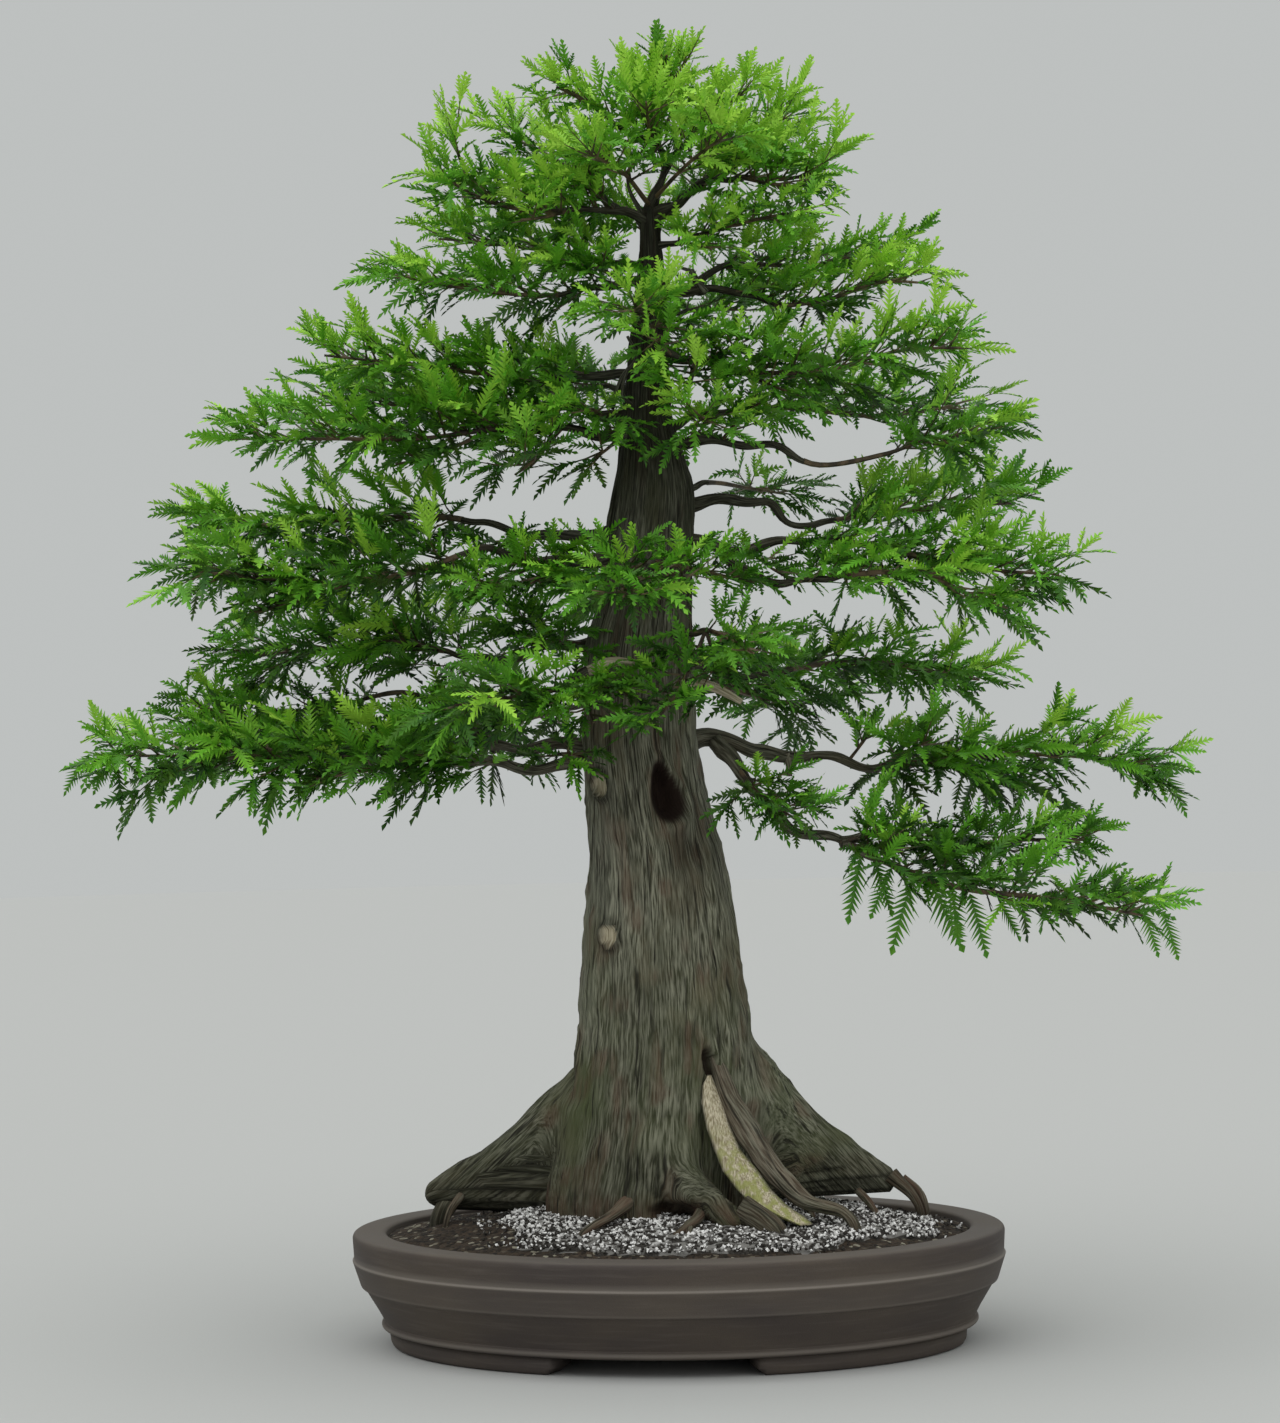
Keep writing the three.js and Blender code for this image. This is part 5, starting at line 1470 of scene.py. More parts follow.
@dataclass
class Feathers:
    """Feathers that grow from twigs: where each starts, where it points, its size, shade and breadth."""

    base: Array
    heading: Array
    lift: Array
    roll: Array
    length: Array
    tone: Array
    breadth: Array

    def chosen(self, which: Array) -> "Feathers":
        """Only some of the feathers."""
        return Feathers(*(getattr(self, name)[which] for name in Feathers.__dataclass_fields__))

    def within_box(self) -> "Feathers":
        """Leaves out feathers that would reach further past the solids' box than BOX_ROOM."""
        tips = placed(self.base + self.length[:, None] * aim(self.heading, self.lift), Turn.TREE)
        return self.chosen(((tips > CAD_LOW - BOX_ROOM) & (tips < CAD_HIGH + BOX_ROOM)).all(axis=1))

    def skins(self, seed: int) -> list[Shell]:
        """The skins of all the feathers, grade by grade.

        Args:
            seed: Seed of the shapes.

        Returns:
            A skin for each grade that there is.
        """
        grades = (Grade.LONG, Grade.MIDDLE, Grade.SHORT)
        grade_of = np.searchsorted([-grade.value[1] for grade in grades], -self.length)
        present = [number for number in range(3) if (grade_of == number).any()]
        return [self.chosen(grade_of == number).skin(grades[number], seed + number) for number in present]

    def skin(self, grade: Grade, seed: int) -> Shell:
        """Places the feather's shape at every base with its own heading, lift, roll, size and droop.

        A point is base + length (u forward + v across + w up) less a droop that grows with u squared.

        Args:
            grade: Size of the feather, which sets its needle pairs.
            seed: Seed of the shape.

        Returns:
            The skin of all these feathers.
        """
        points, triangles, tips = feather_shape(grade.value[0], seed)
        forward, across = aim(self.heading, self.lift), aim(self.heading + CIRCLE / 4, 0 * self.lift)
        above = np.cross(forward, across)
        c, s = np.cos(self.roll)[:, None], np.sin(self.roll)[:, None]
        across, above = c * across + s * above, c * above - s * across
        u, v, w = (points[None, :, k : k + 1] for k in range(3))
        v = v * self.breadth[:, None, None]
        offset = u * forward[:, None] + v * across[:, None] + w * above[:, None]
        sway = 0.5 + 0.5 * np.sin(self.heading * 7 + self.roll * 3)
        droop = 0.08 + 0.28 * np.clip(np.cos(self.lift), 0, 1) * sway
        offset[:, :, 2] -= droop[:, None] * u[..., 0] ** 2
        places = self.base[:, None] + self.length[:, None, None] * offset
        tone = np.clip(self.tone[:, None] + 0.10 * tips[None], 0, 1)
        faces = repeated(triangles, len(points), len(self.base))
        return Shell(places.reshape(-1, 3), faces).with_values(tone=tone.ravel())


@dataclass
class Leafage:
    """What grows on a leafy stem: twigs to both sides, above and below, and their feathers.

    Turns, climbs, sinks, lifts and rolls are in degrees. The tones say how much paler a feather gets with a
    millimetre of height, as painted light on the tops of the pads; along its twig and along its stem, as
    paler young growth with painted light on the pads' outside; and how much twigs and feathers differ.
    """

    spray: Spray
    seed: int
    twig_step: float = 7.6
    riser_step: float = 10.5
    feather_step: float = 7.0
    feather_length: float = 38.0
    tip_room: float = 45.0
    side_turns: Pair = (34, 68)
    riser_turns: Pair = (5, 75)
    climbs: Pair = (14, 46)
    sinks: Pair = (8, 38)
    rising_share: float = 0.74
    riser_lengths: Pair = (0.52, 0.40)
    side_lifts: Pair = (5, 14)
    curls: Pair = (0.10, 0.10)
    feather_turns: Pair = (30, 64)
    feather_sizes: Pair = (0.66, 1.14)
    feather_lifts: Pair = (6, 17)
    fan_turn: float = 26.0
    feather_roll: float = 42.0
    painted_light_by_height: float = 0.0085
    tone_by_twig: float = 0.17
    tone_by_stem: float = 0.16
    tone_of_twig: float = 0.15
    tone_of_feather: float = 0.08

    def path(self, step: float, start: float, stop: float = 1.0) -> Array:
        """The stem's curve between two shares of its length."""
        return smooth_path(np.array(self.spray.points, float), step, (start, stop))

    def twigs(self, rng: np.random.Generator) -> Named:
        """Draws the twigs along the stem: in turn to the left and right, and some that rise or sink.

        Args:
            rng: The stem's own random numbers.

        Returns:
            Start, heading, lift, length, curl and place along the stem of every twig.
        """
        spray = self.spray
        path = self.path(2.0, spray.leaf_from)
        run = run_length(path)
        end = max(run[-1] - self.tip_room, 6.0)
        sides, risers = int(end / self.twig_step) + 2, int(end / self.riser_step) + 1
        count = sides + risers
        upright = np.arange(count) >= sides
        place = np.concatenate([np.linspace(2, end, sides), np.linspace(4, end - 2, risers)])
        place = np.clip(place + rng.normal(0, 2.0, count), 1, end)
        share = place / run[-1]
        base, onward = (
            np.stack([np.interp(np.minimum(place + ahead, run[-1]), run, path[:, k]) for k in range(3)], 1)
            for ahead in (0, 12)
        )
        onward = np.arctan2(*(onward - base)[:, 1::-1].T)
        turn = np.radians(rng.uniform(*self.side_turns, count) * (1.12 - 0.45 * share))
        turn = np.where(upright, np.radians(rng.uniform(*self.riser_turns, count)), turn)
        lift = math.radians(spray.lift) + np.radians(rng.normal(*self.side_lifts, count))
        climb = np.radians(rng.uniform(*self.climbs, count) + 0.6 * max(spray.lift, 0))
        sink = -np.radians(rng.uniform(*self.sinks, count))
        rises = rng.random(count) < self.rising_share
        lift = np.where(upright, np.where(rises, climb, sink), lift)
        swell = 0.62 + 0.38 * np.sin(math.pi * np.clip(0.25 + 0.75 * share, 0, 1)) - 0.2 * share
        length = 0.60 * spray.shoot * swell * rng.uniform(0.7, 1.08, count)
        length = np.where(upright, np.where(rises, *self.riser_lengths) * length, length)
        room = (run[-1] - place - 22) / np.maximum(np.cos(turn) * np.cos(lift), 0.35)
        return {
            "base": base,
            "heading": onward + np.where(np.arange(count) % 2 == 0, turn, -turn),
            "lift": lift,
            "length": np.minimum(length, np.maximum(room, 8.0)),
            "curl": rng.normal(*self.curls, count) - 0.55 * spray.hang * share,
            "share": share,
        }

    def twig_points(self, twigs: Named, which: Array, share: Array) -> Array:
        """Places on twigs: start + length (share times heading + curl times share squared up).

        Args:
            twigs: The twigs.
            which: Number of the twig of each place.
            share: Share of the way along it.

        Returns:
            Rows of x, y, z.
        """
        names = ("base", "heading", "lift", "length", "curl")
        base, heading, lift, length, curl = (twigs[name][which] for name in names)
        rise = (curl * share**2)[:, None] * UP
        return base + length[:, None] * (share[:, None] * aim(heading, lift) + rise)

    def twig_skin(self, twigs: Named) -> Shell:
        """Three-sided tapering twigs, worked out all at once on a grid of twig, station and side.

        Args:
            twigs: The twigs.

        Returns:
            The skin of them all.
        """
        count, stations, sides = len(twigs["length"]), 3, 3
        which = np.repeat(np.arange(count), stations)
        share = np.tile(np.linspace(0, 1, stations), count)
        centre = self.twig_points(twigs, which, share).reshape(count, stations, 1, 3)
        across = aim(twigs["heading"] + CIRCLE / 4, 0 * twigs["lift"])[:, None, None]
        angle = np.arange(sides)[:, None] * CIRCLE / sides
        radius = (1.15 - 0.75 * np.linspace(0, 1, stations))[None, :, None, None]
        points = centre + radius * (np.cos(angle) * UP + np.sin(angle) * across)
        one = np.concatenate([grid_triangles(stations, sides), [[0, 2, 1]], [[6, 7, 8]]])[:, ::-1]
        skin = Shell(points.reshape(-1, 3), repeated(one, stations * sides, count))
        return skin.with_values(tone=0.3, woody=0.9)

    def feathers(self, twigs: Named, rng: np.random.Generator) -> Feathers:
        """Draws the feathers along each twig in turn to both sides, and a fan of three at its end.

        A feather is paler the higher it stands above its stem, on higher stems and on upturned ones, which
        is painted light, and towards the ends of twig and stem, which is paler young growth with painted
        light.

        Args:
            twigs: The twigs.
            rng: The stem's own random numbers.

        Returns:
            The feathers.
        """
        spray, twig_count = self.spray, len(twigs["length"])
        along = np.maximum(1, np.round(twigs["length"] / self.feather_step).astype(int))
        which = np.repeat(np.arange(twig_count), along)
        order = np.arange(len(which)) - np.repeat(np.cumsum(along) - along, along)
        share = (order + 0.7) / along[which]
        turn = np.radians(rng.uniform(*self.feather_turns, len(which)))
        turn = np.where(order % 2 == 0, turn, -turn)
        fan = np.tile(np.arange(3), twig_count)
        turn = np.concatenate([turn, np.radians((fan - 1) * self.fan_turn + rng.normal(0, 7, len(fan)))])
        which = np.concatenate([which, np.repeat(np.arange(twig_count), 3)])
        share = np.concatenate([share, np.ones(len(fan))])
        count, limb_share = len(which), twigs["share"][which]
        base = self.twig_points(twigs, which, share)
        lift = twigs["lift"][which] + twigs["curl"][which] * share
        lift = lift + np.radians(rng.normal(*self.feather_lifts, count))
        lift = np.clip(lift - 1.1 * spray.hang * rng.random(count) * limb_share, -1.15, 1.25)
        usual = np.clip(0.42 + 0.0072 * spray.shoot, 0.72, 1.08) * np.where(share >= 1, 0.92, 1.0)
        inner = 1 - 0.24 * (1 - share) - 0.22 * limb_share**2
        length = self.feather_length * usual * inner * rng.uniform(*self.feather_sizes, count)
        stem = np.array(spray.points, float)[:, 2]
        height = base[:, 2] + 0.5 * length * np.sin(lift)
        height = height - np.interp(limb_share, [0, 1], [twigs["base"][0, 2], stem[-1]])
        # Painted light: paler with height above the stem, on higher stems and on upturned sprays. Paler
        # towards the ends of twig and stem: young growth, with painted light on the pads' outside.
        tone = 0.25 + self.painted_light_by_height * height
        tone = tone + self.tone_by_twig * share + self.tone_by_stem * limb_share
        tone = tone + 0.2 * (stem.mean() - 560) / 400 + 0.003 * max(spray.lift, 0)
        tone = tone + rng.normal(0, self.tone_of_twig, twig_count)[which]
        tone = tone + rng.normal(0, self.tone_of_feather, count)
        roll = np.radians(rng.normal(0, self.feather_roll, count))
        heading, tone = twigs["heading"][which] + turn, np.clip(tone, 0, 0.95)
        return Feathers(base, heading, lift, roll, length, tone, np.ones(count)).within_box()

    def skins(self) -> list[Shell]:
        """The skins of the stem, its twigs and its feathers.

        Returns:
            The skins.
        """
        rng, spray = np.random.default_rng(self.seed), self.spray
        whole = run_length(self.path(4.0, 0.0))[-1]
        path = self.path(6.0, spray.stem_from, 1.0 - 0.8 * self.tip_room / whole)
        stem = tube(path, np.linspace(spray.radius, 0.8, len(path)), 6, 1.0, 0.12, self.seed)
        del stem.values["grain"]
        twigs = self.twigs(rng)
        leaves = self.feathers(twigs, rng).skins(self.seed)
        return [stem.with_values(tone=0.3, woody=1.0), self.twig_skin(twigs), *leaves]


@dataclass
class LeafyLimb:
    """The leafy end of a limb, with the smaller leafy branches and hanging feathers that belong to it."""

    limb: Limb
    number: int

    def build(self) -> None:
        """Makes the leafy end as one piece."""
        name = self.limb.name
        sprays = [self.limb.main_spray()] + [Spray(*row) for row in BRANCHES.get(name, ())]
        parts = []
        for i, spray in enumerate(sprays):
            parts += Leafage(spray, 500 + 60 * i + self.number).skins()
        hanging = [[*place, *rest] for place, *rest in HANGING.get(name, ())]
        if hanging:
            *base, heading, lift, roll, length = np.array(hanging, float).T
            heading, lift, roll = np.radians([heading, lift, roll])
            hung = Feathers(np.stack(base, 1), heading, lift, roll, length, 0.42 + 0 * lift, 1.4 + 0 * lift)
            parts.append(hung.skin(Grade.HANGING, self.number))
        piece = Piece(f"leaves_{name}", LEAF, "foliage", (f"foliage_{name}",), Turn.TREE, smooth=False)
        piece.build(joined(parts))


def rounded_profile(corners: Array, cut: float, steps: int = 4) -> Array:
    """Rounds the corners of an open profile: each is a curve (1-t)^2 a + 2t(1-t) corner + t^2 b.

    Args:
        corners: Rows of inset and height.
        cut: How far along its two sides a corner is cut, at most.
        steps: Points in a rounded corner.

    Returns:
        Rows of inset and height.
    """
    before, at, after = corners[:-2], corners[1:-1], corners[2:]
    short = np.minimum(np.linalg.norm(at - before, axis=1), np.linalg.norm(after - at, axis=1))
    room = np.minimum(cut, 0.42 * short)[:, None]
    a, b = at + room * unit(before - at), at + room * unit(after - at)
    t = np.linspace(0, 1, steps)[None, :, None]
    curves = (1 - t) ** 2 * a[:, None] + 2 * t * (1 - t) * at[:, None] + t**2 * b[:, None]
    return np.concatenate([corners[:1], curves.reshape(-1, 2), corners[-1:]])


@dataclass
class Pot:
    """Oval pot of unglazed clay: a wide rim, three bands, a lip, four feet and two drain holes."""

    length: float = 460.0
    depth: float = 359.0
    height: float = 80.0
    rim_width: float = 25.0
    foot_height: float = 12.0
    foot_end: float = 4.5
    floor_top: float = 23.0
    wall_lean: float = 12.0
    segments: int = 176
    foot_angles: Pair = (8.0, 70.0)
    drain_radius: float = 14.0
    drain_offset: float = 80.0
    drain_sides: int = 40
    drill_heights: Pair = (5.0, 30.0)

    def oval(self, inset: Array, z: Array, angle: Array | None = None) -> Array:
        """Places on ovals: half length less inset times cos a, half depth less inset times sin a, z.

        Args:
            inset: Distance in from the pot's outline.
            z: Height.
            angle: Angles, or all round where None.

        Returns:
            Points with the shape (insets, angles, 3).
        """
        around = np.arange(self.segments) * CIRCLE / self.segments if angle is None else angle
        x = (self.length / 2 - inset)[:, None] * np.cos(around)
        y = (self.depth / 2 - inset)[:, None] * np.sin(around)
        return np.stack([x, y, np.broadcast_to(z[:, None], x.shape)], -1)

    def inner_inset(self, z: float) -> float:
        """Inset of the inner wall at a height."""
        return self.rim_width + self.wall_lean * (self.height - z) / (self.height - self.floor_top)

    def profile(self) -> Array:
        """Inset and height from the underside, up the bands, over the rim, down to the floor.

        Returns:
            Rows of inset and height.
        """
        rim, top, low = self.rim_width, self.height, self.floor_top
        corners = [
            (27, self.foot_height), (20.6, 13.6), (19.8, 15.4), (20.4, 17.2), (22.2, 18.2), (18.0, 26.0),
            (8.6, 41.6), (8.0, 42.2), (6.0, 42.8), (5.4, 44.4), (0.5, 59.6), (0.2, 60.6), (1.4, 61.6),
            (1.1, 68.0), (0.6, 76.6), (1.4, 78.8), (3.4, top), (rim - 3, top), (rim - 0.6, 79.0),
            (rim, 76.6), (self.inner_inset(50.0), 50.0), (self.inner_inset(low), low),
        ]
        return rounded_profile(np.array(corners, float), 1.6)

    def foot(self, quadrant: int) -> Shell:
        """One foot along the oval, with a rounded lower edge and rounded ends.

        Args:
            quadrant: Which quarter of the pot it stands in, from 0 to 3.

        Returns:
            The closed skin.
        """
        degrees = np.linspace(*self.foot_angles, 41)
        degrees = degrees if quadrant % 2 == 0 else (90 - degrees)[::-1]
        half = [(25, 13.4), (26.2, 4.0), (27.6, 1.0), (30.4, 0)]
        mirrored = [(80 - inset, z) for inset, z in half[::-1]]
        section = rounded_profile(np.array(half + mirrored, float), 1.4, 3)
        around = np.radians(90 * quadrant + degrees)
        places = self.oval(section[:, 0], section[:, 1], around).transpose(1, 0, 2)
        run = run_length(places[:, 0])
        inward = np.maximum(self.foot_end - np.minimum(run, run[-1] - run), 0)
        lifted = self.foot_end - np.sqrt(np.maximum(self.foot_end**2 - inward**2, 0))
        places[:, :, 2] = np.maximum(places[:, :, 2], lifted[:, None])
        return ring_skin(places[:, ::-1])

    def drilled(self, body: Shell) -> Shell:
        """Cuts the two drain holes out of the body.

        Args:
            body: The pot without its feet.

        Returns:
            The body with its holes.
        """
        ring = np.arange(self.drain_sides) * CIRCLE / self.drain_sides
        circle = np.stack([self.drain_radius * np.cos(ring), self.drain_radius * np.sin(ring), 0 * ring], 1)
        drills = [
            ring_skin(np.stack([circle + [x, 0, z] for z in self.drill_heights]))
            for x in (-self.drain_offset, self.drain_offset)
        ]
        blank, *tools = (
            bpy.data.objects.new("pot_blank", bpy.data.meshes.new("pot_blank")) for _ in (body, *drills)
        )
        for item, skin in zip((blank, *tools), (body, *drills)):
            item.data.from_pydata(skin.points.tolist(), [], skin.triangles.tolist())
            bpy.context.scene.collection.objects.link(item)
        # Carries the value dust, which holds dust and painted highlight, through the cut.
        dust = blank.data.attributes.new("dust", "FLOAT", "POINT")
        dust.data.foreach_set("value", body.values["dust"].astype(np.float32))
        for tool in tools:
            cut = blank.modifiers.new("cut", "BOOLEAN")
            cut.operation, cut.solver, cut.object = "DIFFERENCE", "EXACT", tool
        done = blank.evaluated_get(bpy.context.evaluated_depsgraph_get()).to_mesh()
        done.calc_loop_triangles()
        points, kept = np.empty(3 * len(done.vertices)), np.empty(len(done.vertices))
        triangles = np.empty(3 * len(done.loop_triangles), np.int32)
        done.vertices.foreach_get("co", points)
        done.loop_triangles.foreach_get("vertices", triangles)
        done.attributes["dust"].data.foreach_get("value", kept)
        for item in (blank, *tools):
            bpy.data.objects.remove(item)
        return Shell(points.reshape(-1, 3), triangles.reshape(-1, 3)).with_values(dust=kept)

    def build(self) -> None:
        """Makes the pot, with dust and painted highlight on its ledges, and dresses the two mesh screens
        over its drain holes.
        """
        profile = self.profile()
        body = ring_skin(self.oval(profile[:, 0], profile[:, 1]))
        z = body.points[:, 2]
        # Pale bands on the upward ledges and the rim top: dust, and painted highlight.
        ledge_dust_and_highlight = bell(z, 61.2, 1.3) + 0.6 * bell(z, 15.6, 1.6) + 0.35 * bell(z, 44.0, 1.2)
        body.with_values(dust=0.75 * np.clip(ledge_dust_and_highlight + 0.5 * ease(78.0, 80.0, z), 0, 1))
        feet = [self.foot(quadrant) for quadrant in range(4)]
        Piece("clay_pot", CLAY, "pot_clay", ("pot",), Turn.POT).build(joined([self.drilled(body), *feet]))
        for name in ("drain_screen_left", "drain_screen_right"):
            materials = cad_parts[name].data.materials
            materials.clear()
            materials.append(PLASTIC.material())


@dataclass
class Ground:
    """Soil heaped in the pot, and pale grit strewn over its front and middle."""

    pot: Pot
    edge_height: float = 76.0
    mound: float = 18.0
    gap: float = 0.3
    grit_size: Pair = (372.0, 250.0)
    grit_centre: Pair = (9.0, -23.0)
    grit_depth: float = 2.6
    coarse_lumps: Pair = (2.4, 5.0)
    fine_lumps: Pair = (1.3, 2.6)
    grit_lumps: Pair = (1.8, 3.2)
    chips: int = 8400
    strays: int = 1500
    chip_sizes: Pair = (1.0, 2.4)
    chip_shape: Triple = (1.1, 0.95, 0.75)
    lattice_size: Pair = (480.0, 400.0)
    soil_rings: int = 48
    grit_rings: int = 46
    grit_columns: int = 150

    def soil_height(self, x: Array, y: Array) -> Array:
        """Height of the soil: edge + (mound + low waves) (1 - share of the way out, squared).

        Args:
            x: Places along the pot.
            y: Places across it.

        Returns:
            The heights.
        """
        inset = self.pot.rim_width
        share = np.hypot(x / (self.pot.length / 2 - inset), y / (self.pot.depth / 2 - inset))
        waves = 0.8 * np.sin(x / 17) * np.cos(y / 13)
        return self.edge_height + (self.mound + waves) * np.maximum(0, 1 - share**2)

    def crumble(self, x: Array, y: Array, size: float, seed: int) -> Array:
        """Lumps of a size in millimetres, from 0 to 1."""
        long, wide = self.lattice_size
        cells = (int(long / size), int(wide / size))
        return noise(x / long + 0.5, y / wide + 0.5, cells, seed)

    def soil_skin(self) -> Shell:
        """The soil as rings from its flat bottom, out to the wall and over its mounded crumbly top.

        Returns:
            The closed skin.
        """
        heights = np.array([self.pot.floor_top + self.gap, self.edge_height])
        wall = self.pot.oval(self.pot.inner_inset(heights) + self.gap, heights)
        share = np.linspace(0.99, 0.02, self.soil_rings)[:, None]
        x, y = share * wall[1, :, 0], share * wall[1, :, 1]
        (coarse, coarse_width), (fine, fine_width) = self.coarse_lumps, self.fine_lumps
        rough = coarse * self.crumble(x, y, coarse_width, 71)
        rough = rough + fine * self.crumble(x, y, fine_width, 72) - 2.0
        top = np.stack([x, y, self.soil_height(x, y) + rough * ease(1.0, 0.97, share)], -1)
        return ring_skin(np.concatenate([wall, top]))

    def grit_outline(self, angle: Array) -> Array:
        """Reach of the grit as a share of its oval: ragged, and drawn in at the left end."""
        ragged = 0.16 * noise(angle / CIRCLE, 0 * angle, (26, 1), 81)
        return 0.99 - ragged - 0.22 * bell(np.cos(angle), -1.0, 0.25)

    def grit_skin(self) -> Shell:
        """A thin bed of dusty grit, highest inside its ragged border, with lumps 3 mm wide.

        Returns:
            The closed skin.
        """
        angle = np.arange(self.grit_columns) * CIRCLE / self.grit_columns
        share = np.concatenate([[1.0], np.linspace(1.0, 0.03, self.grit_rings)])[:, None]
        reach = self.grit_outline(angle) * share / 2
        x = self.grit_centre[0] + self.grit_size[0] * reach * np.cos(angle)
        y = self.grit_centre[1] + self.grit_size[1] * reach * np.sin(angle)
        bed = self.grit_depth * ease(1.0, 0.9, share) - 1.6 * ease(0.93, 1.0, share)
        lump, lump_width = self.grit_lumps
        z = self.soil_height(x, y) + bed + lump * self.crumble(x, y, lump_width, 83) - 0.6
        z[0] = self.edge_height - 8
        skin = ring_skin(np.stack([x, y, z], -1))
        dark = self.crumble(skin.points[:, 0], skin.points[:, 1], 2.8, 84) < 0.5
        return skin.with_values(tone=np.where(dark, 0.15, 0.34))

    def chip_skin(self, count: int, spread: float, dark_share: float, seed: int) -> Shell:
        """Crushed chips: eight-faced, each squashed, turned and half sunk, worked out all at once.

        Args:
            count: Number of chips.
            spread: How far out they lie, as a share of the grit's oval; past 1 round the pot's middle.
            dark_share: Share of them that are dark.
            seed: Seed of the draw.

        Returns:
            The skin of them all.
        """
        rng = np.random.default_rng(seed)
        angle = rng.uniform(0, CIRCLE, count)
        out = np.sqrt(rng.random(count)) * self.grit_outline(angle) * spread / 2
        x = self.grit_centre[0] * (spread <= 1) + self.grit_size[0] * out * np.cos(angle)
        y = self.grit_centre[1] * (spread <= 1) + self.grit_size[1] * out * np.sin(angle)
        inside = np.hypot(x / (self.pot.length / 2 - 29), y / (self.pot.depth / 2 - 29)) < 1
        x, y, count = x[inside], y[inside], int(inside.sum())
        lift = self.grit_depth if spread <= 1 else 0.6
        centre = np.stack([x, y, self.soil_height(x, y) + lift + rng.uniform(-0.2, 1.2, count)], 1)
        corner = np.kron(np.eye(3), [[1.0], [-1.0]])
        size = rng.uniform(0.55, 1.0, (count, 1, 3)) * rng.uniform(*self.chip_sizes, (count, 1, 1))
        shape = corner * size * self.chip_shape * rng.uniform(0.8, 1.2, (count, 6, 1))
        shape = shape + rng.normal(0, 0.12, (count, 6, 3))
        basis = np.linalg.qr(rng.normal(size=(count, 3, 3)))[0]
        basis *= np.sign(np.linalg.det(basis))[:, None, None]
        points = centre[:, None] + np.einsum("nij,npj->npi", basis, shape)
        upper = np.array([[0, 2, 4], [2, 1, 4], [1, 3, 4], [3, 0, 4]])
        lower = np.array([[2, 0, 5], [1, 2, 5], [3, 1, 5], [0, 3, 5]])
        tone = np.where(rng.random(count) < dark_share, 0.1, rng.uniform(0.3, 1.0, count))
        skin = Shell(points.reshape(-1, 3), repeated(np.concatenate([upper, lower]), 6, count))
        return skin.with_values(tone=np.repeat(tone, 6))

    def build(self) -> None:
        """Makes the soil, and the grit with its chips."""
        Piece("potting_soil", SOIL, "soil", ("soil",), Turn.POT).build(self.soil_skin())
        chips = self.chip_skin(self.chips, 1.0, 0.30, 91)
        strays = self.chip_skin(self.strays, 1.16, 0.72, 92)
        grit = Piece("pale_grit", GRIT, "grit", ("grit",), Turn.POT, smooth=False)
        grit.build(joined([self.grit_skin(), chips, strays]))


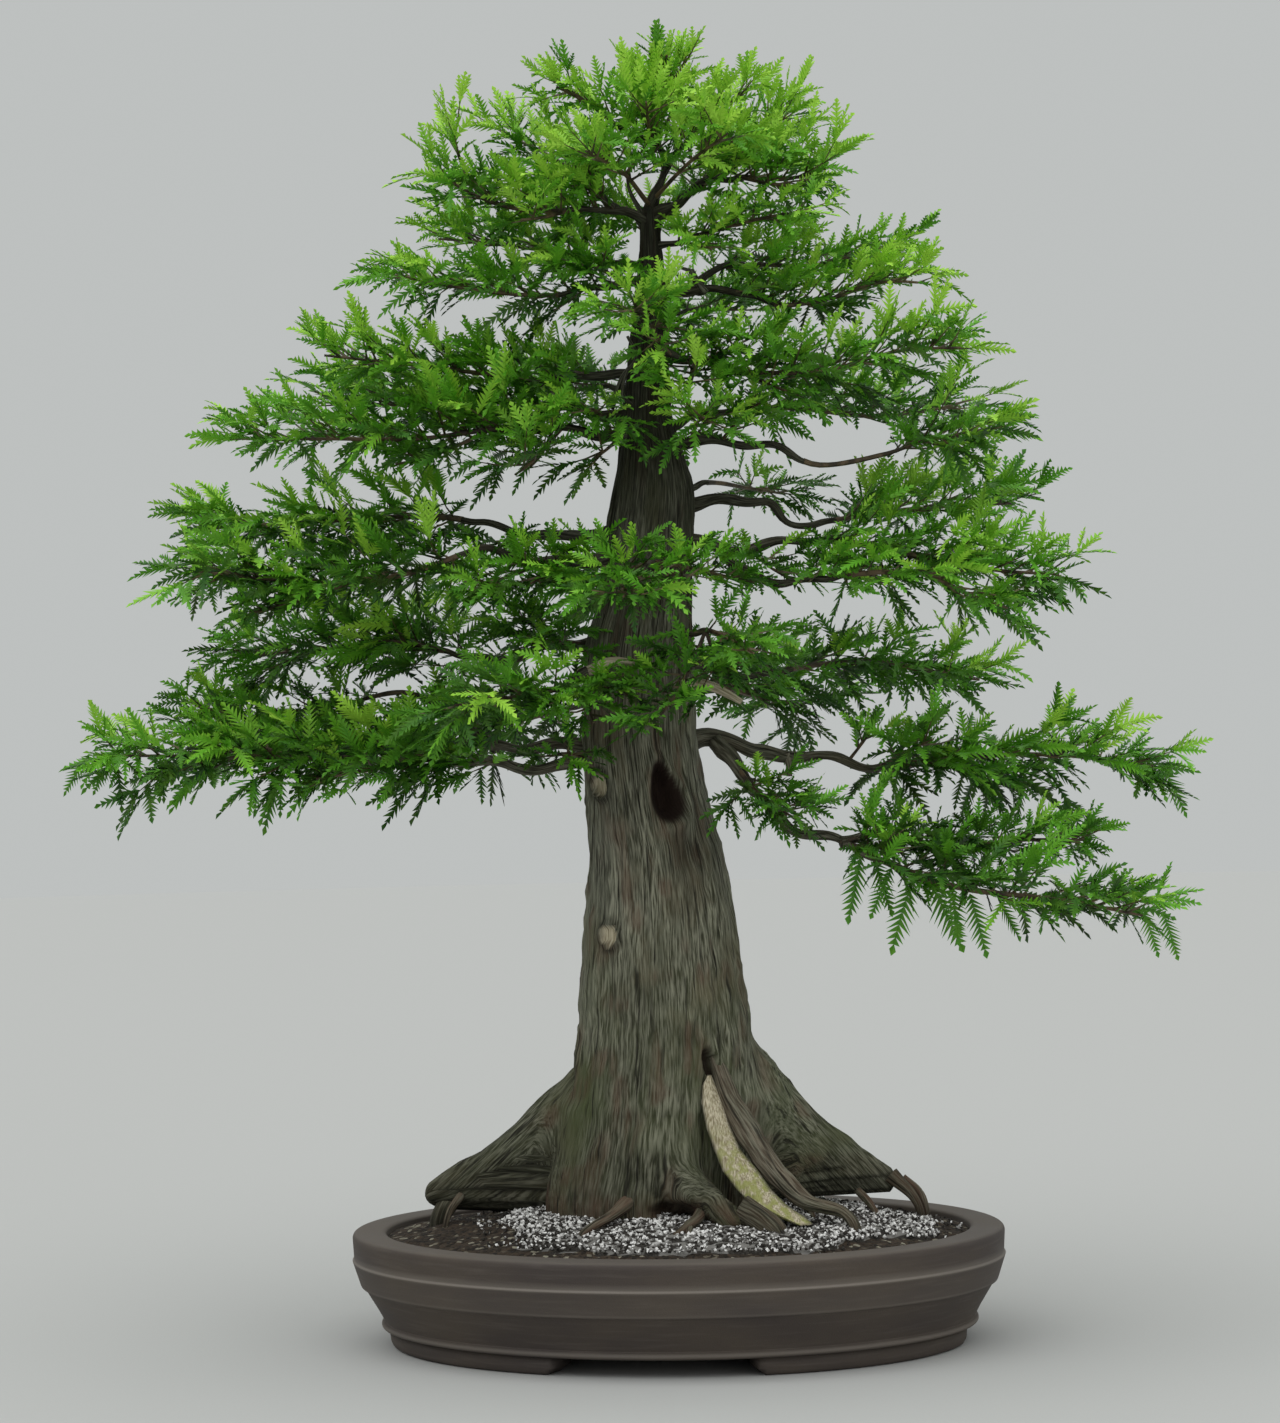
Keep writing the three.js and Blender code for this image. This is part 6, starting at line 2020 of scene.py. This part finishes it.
@dataclass
class Studio:
    """Camera where the photograph was taken from, a pale floor and soft light from above.

    Distances of the camera are millimetres from the pot's middle, turned with the tree.
    """

    distance: float = 2600.0
    side: float = -18.5
    height: float = 442.0
    roll: float = -1.2
    lens: float = 93.55
    sensor_width: float = 36.0
    clip: Pair = (0.1, 60.0)
    floor_radius: float = 7.0
    floor_corners: int = 64
    sky_tilt: Pair = (16.0, -8.0)
    sky_width: float = 85.0
    sky_power: float = 1.75
    lamp_place: Triple = (2.7, -2.4, 1.3)
    lamp_target: Triple = (0.0, 0.0, 0.45)
    lamp_width: float = 2.6
    lamp_power: float = 14.0
    surroundings: str = "c2c5c4"
    surroundings_power: float = 0.95

    def add(self, name: str, data: Any, place: Matrix) -> Any:
        """Puts an object in the scene.

        Args:
            name: Its name.
            data: Its camera, light or mesh.
            place: Its place and turn.

        Returns:
            The object.
        """
        item = bpy.data.objects.new(name, data)
        bpy.context.scene.collection.objects.link(item)
        item.matrix_world = place
        return item

    def camera(self) -> None:
        """Puts the camera level, turned with the tree, a little rolled."""
        data = bpy.data.cameras.new("camera")
        data.sensor_width, data.lens = self.sensor_width, self.lens
        data.clip_start, data.clip_end = self.clip
        place = placed(np.array([[self.side, -self.distance, self.height]]), Turn.TREE)[0]
        turn = Matrix.Rotation(TREE_TURN, 4, "Z") @ Matrix.Rotation(CIRCLE / 4, 4, "X")
        turn = turn @ Matrix.Rotation(math.radians(self.roll), 4, "Z")
        bpy.context.scene.camera = self.add("camera", data, Matrix.Translation(place) @ turn)

    def lights(self) -> None:
        """Lights the tree evenly from a wide bright sky, and softly from a wide lamp at the front right."""
        sky = bpy.data.lights.new("daylight", "SUN")
        sky.energy, sky.angle = self.sky_power, math.radians(self.sky_width)
        forward, sideways = (
            Matrix.Rotation(math.radians(tilt), 4, axis) for tilt, axis in zip(self.sky_tilt, "XY")
        )
        self.add("daylight", sky, forward @ sideways)
        lamp = bpy.data.lights.new("front_lamp", "AREA")
        lamp.size, lamp.energy = self.lamp_width, self.lamp_power
        away = Vector(self.lamp_place) - Vector(self.lamp_target)
        turn = away.to_track_quat("Z", "Y").to_matrix().to_4x4()
        self.add("front_lamp", lamp, Matrix.Translation(self.lamp_place) @ turn)

    def build(self) -> None:
        """Makes the camera, the floor, the lamps and the even pale surroundings."""
        self.camera()
        self.lights()
        ring = np.arange(self.floor_corners) * CIRCLE / self.floor_corners
        edge = self.floor_radius * np.stack([np.cos(ring), np.sin(ring), 0 * ring], 1)
        mesh = bpy.data.meshes.new("floor")
        mesh.from_pydata(edge.tolist(), [], [list(range(self.floor_corners))])
        mesh.materials.append(PAPER.material())
        self.add("floor", mesh, Matrix())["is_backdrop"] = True
        world = bpy.data.worlds.new("surroundings")
        world.use_nodes = True
        colour, power = world.node_tree.nodes["Background"].inputs[:2]
        colour.default_value, power.default_value = linear(self.surroundings), self.surroundings_power
        bpy.context.scene.world = world
        bpy.context.scene.view_settings.view_transform = "Standard"


def write_sizes() -> None:
    """Works out the solids' box and the dressed part's box, and logs the dressed part's box."""
    bpy.context.view_layer.update()
    low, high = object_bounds()
    sizes = {"cad": [list(CAD_LOW), list(CAD_HIGH)], "visual": [list(low), list(high)]}
    LOG.info("box %s to %s", np.round(low, 3), np.round(high, 3))


def main() -> None:
    """Builds the studio, the pot with its soil and grit, the wood and the leafy limbs."""
    logging.basicConfig(level=logging.INFO, format="%(message)s")
    Studio().build()
    pot = Pot()
    pot.build()
    Ground(pot).build()
    BareWood().build()
    for number, limb in enumerate(LIMBS):
        LeafyLimb(limb, number).build()
    write_sizes()


if __name__ == "__main__":
    main()
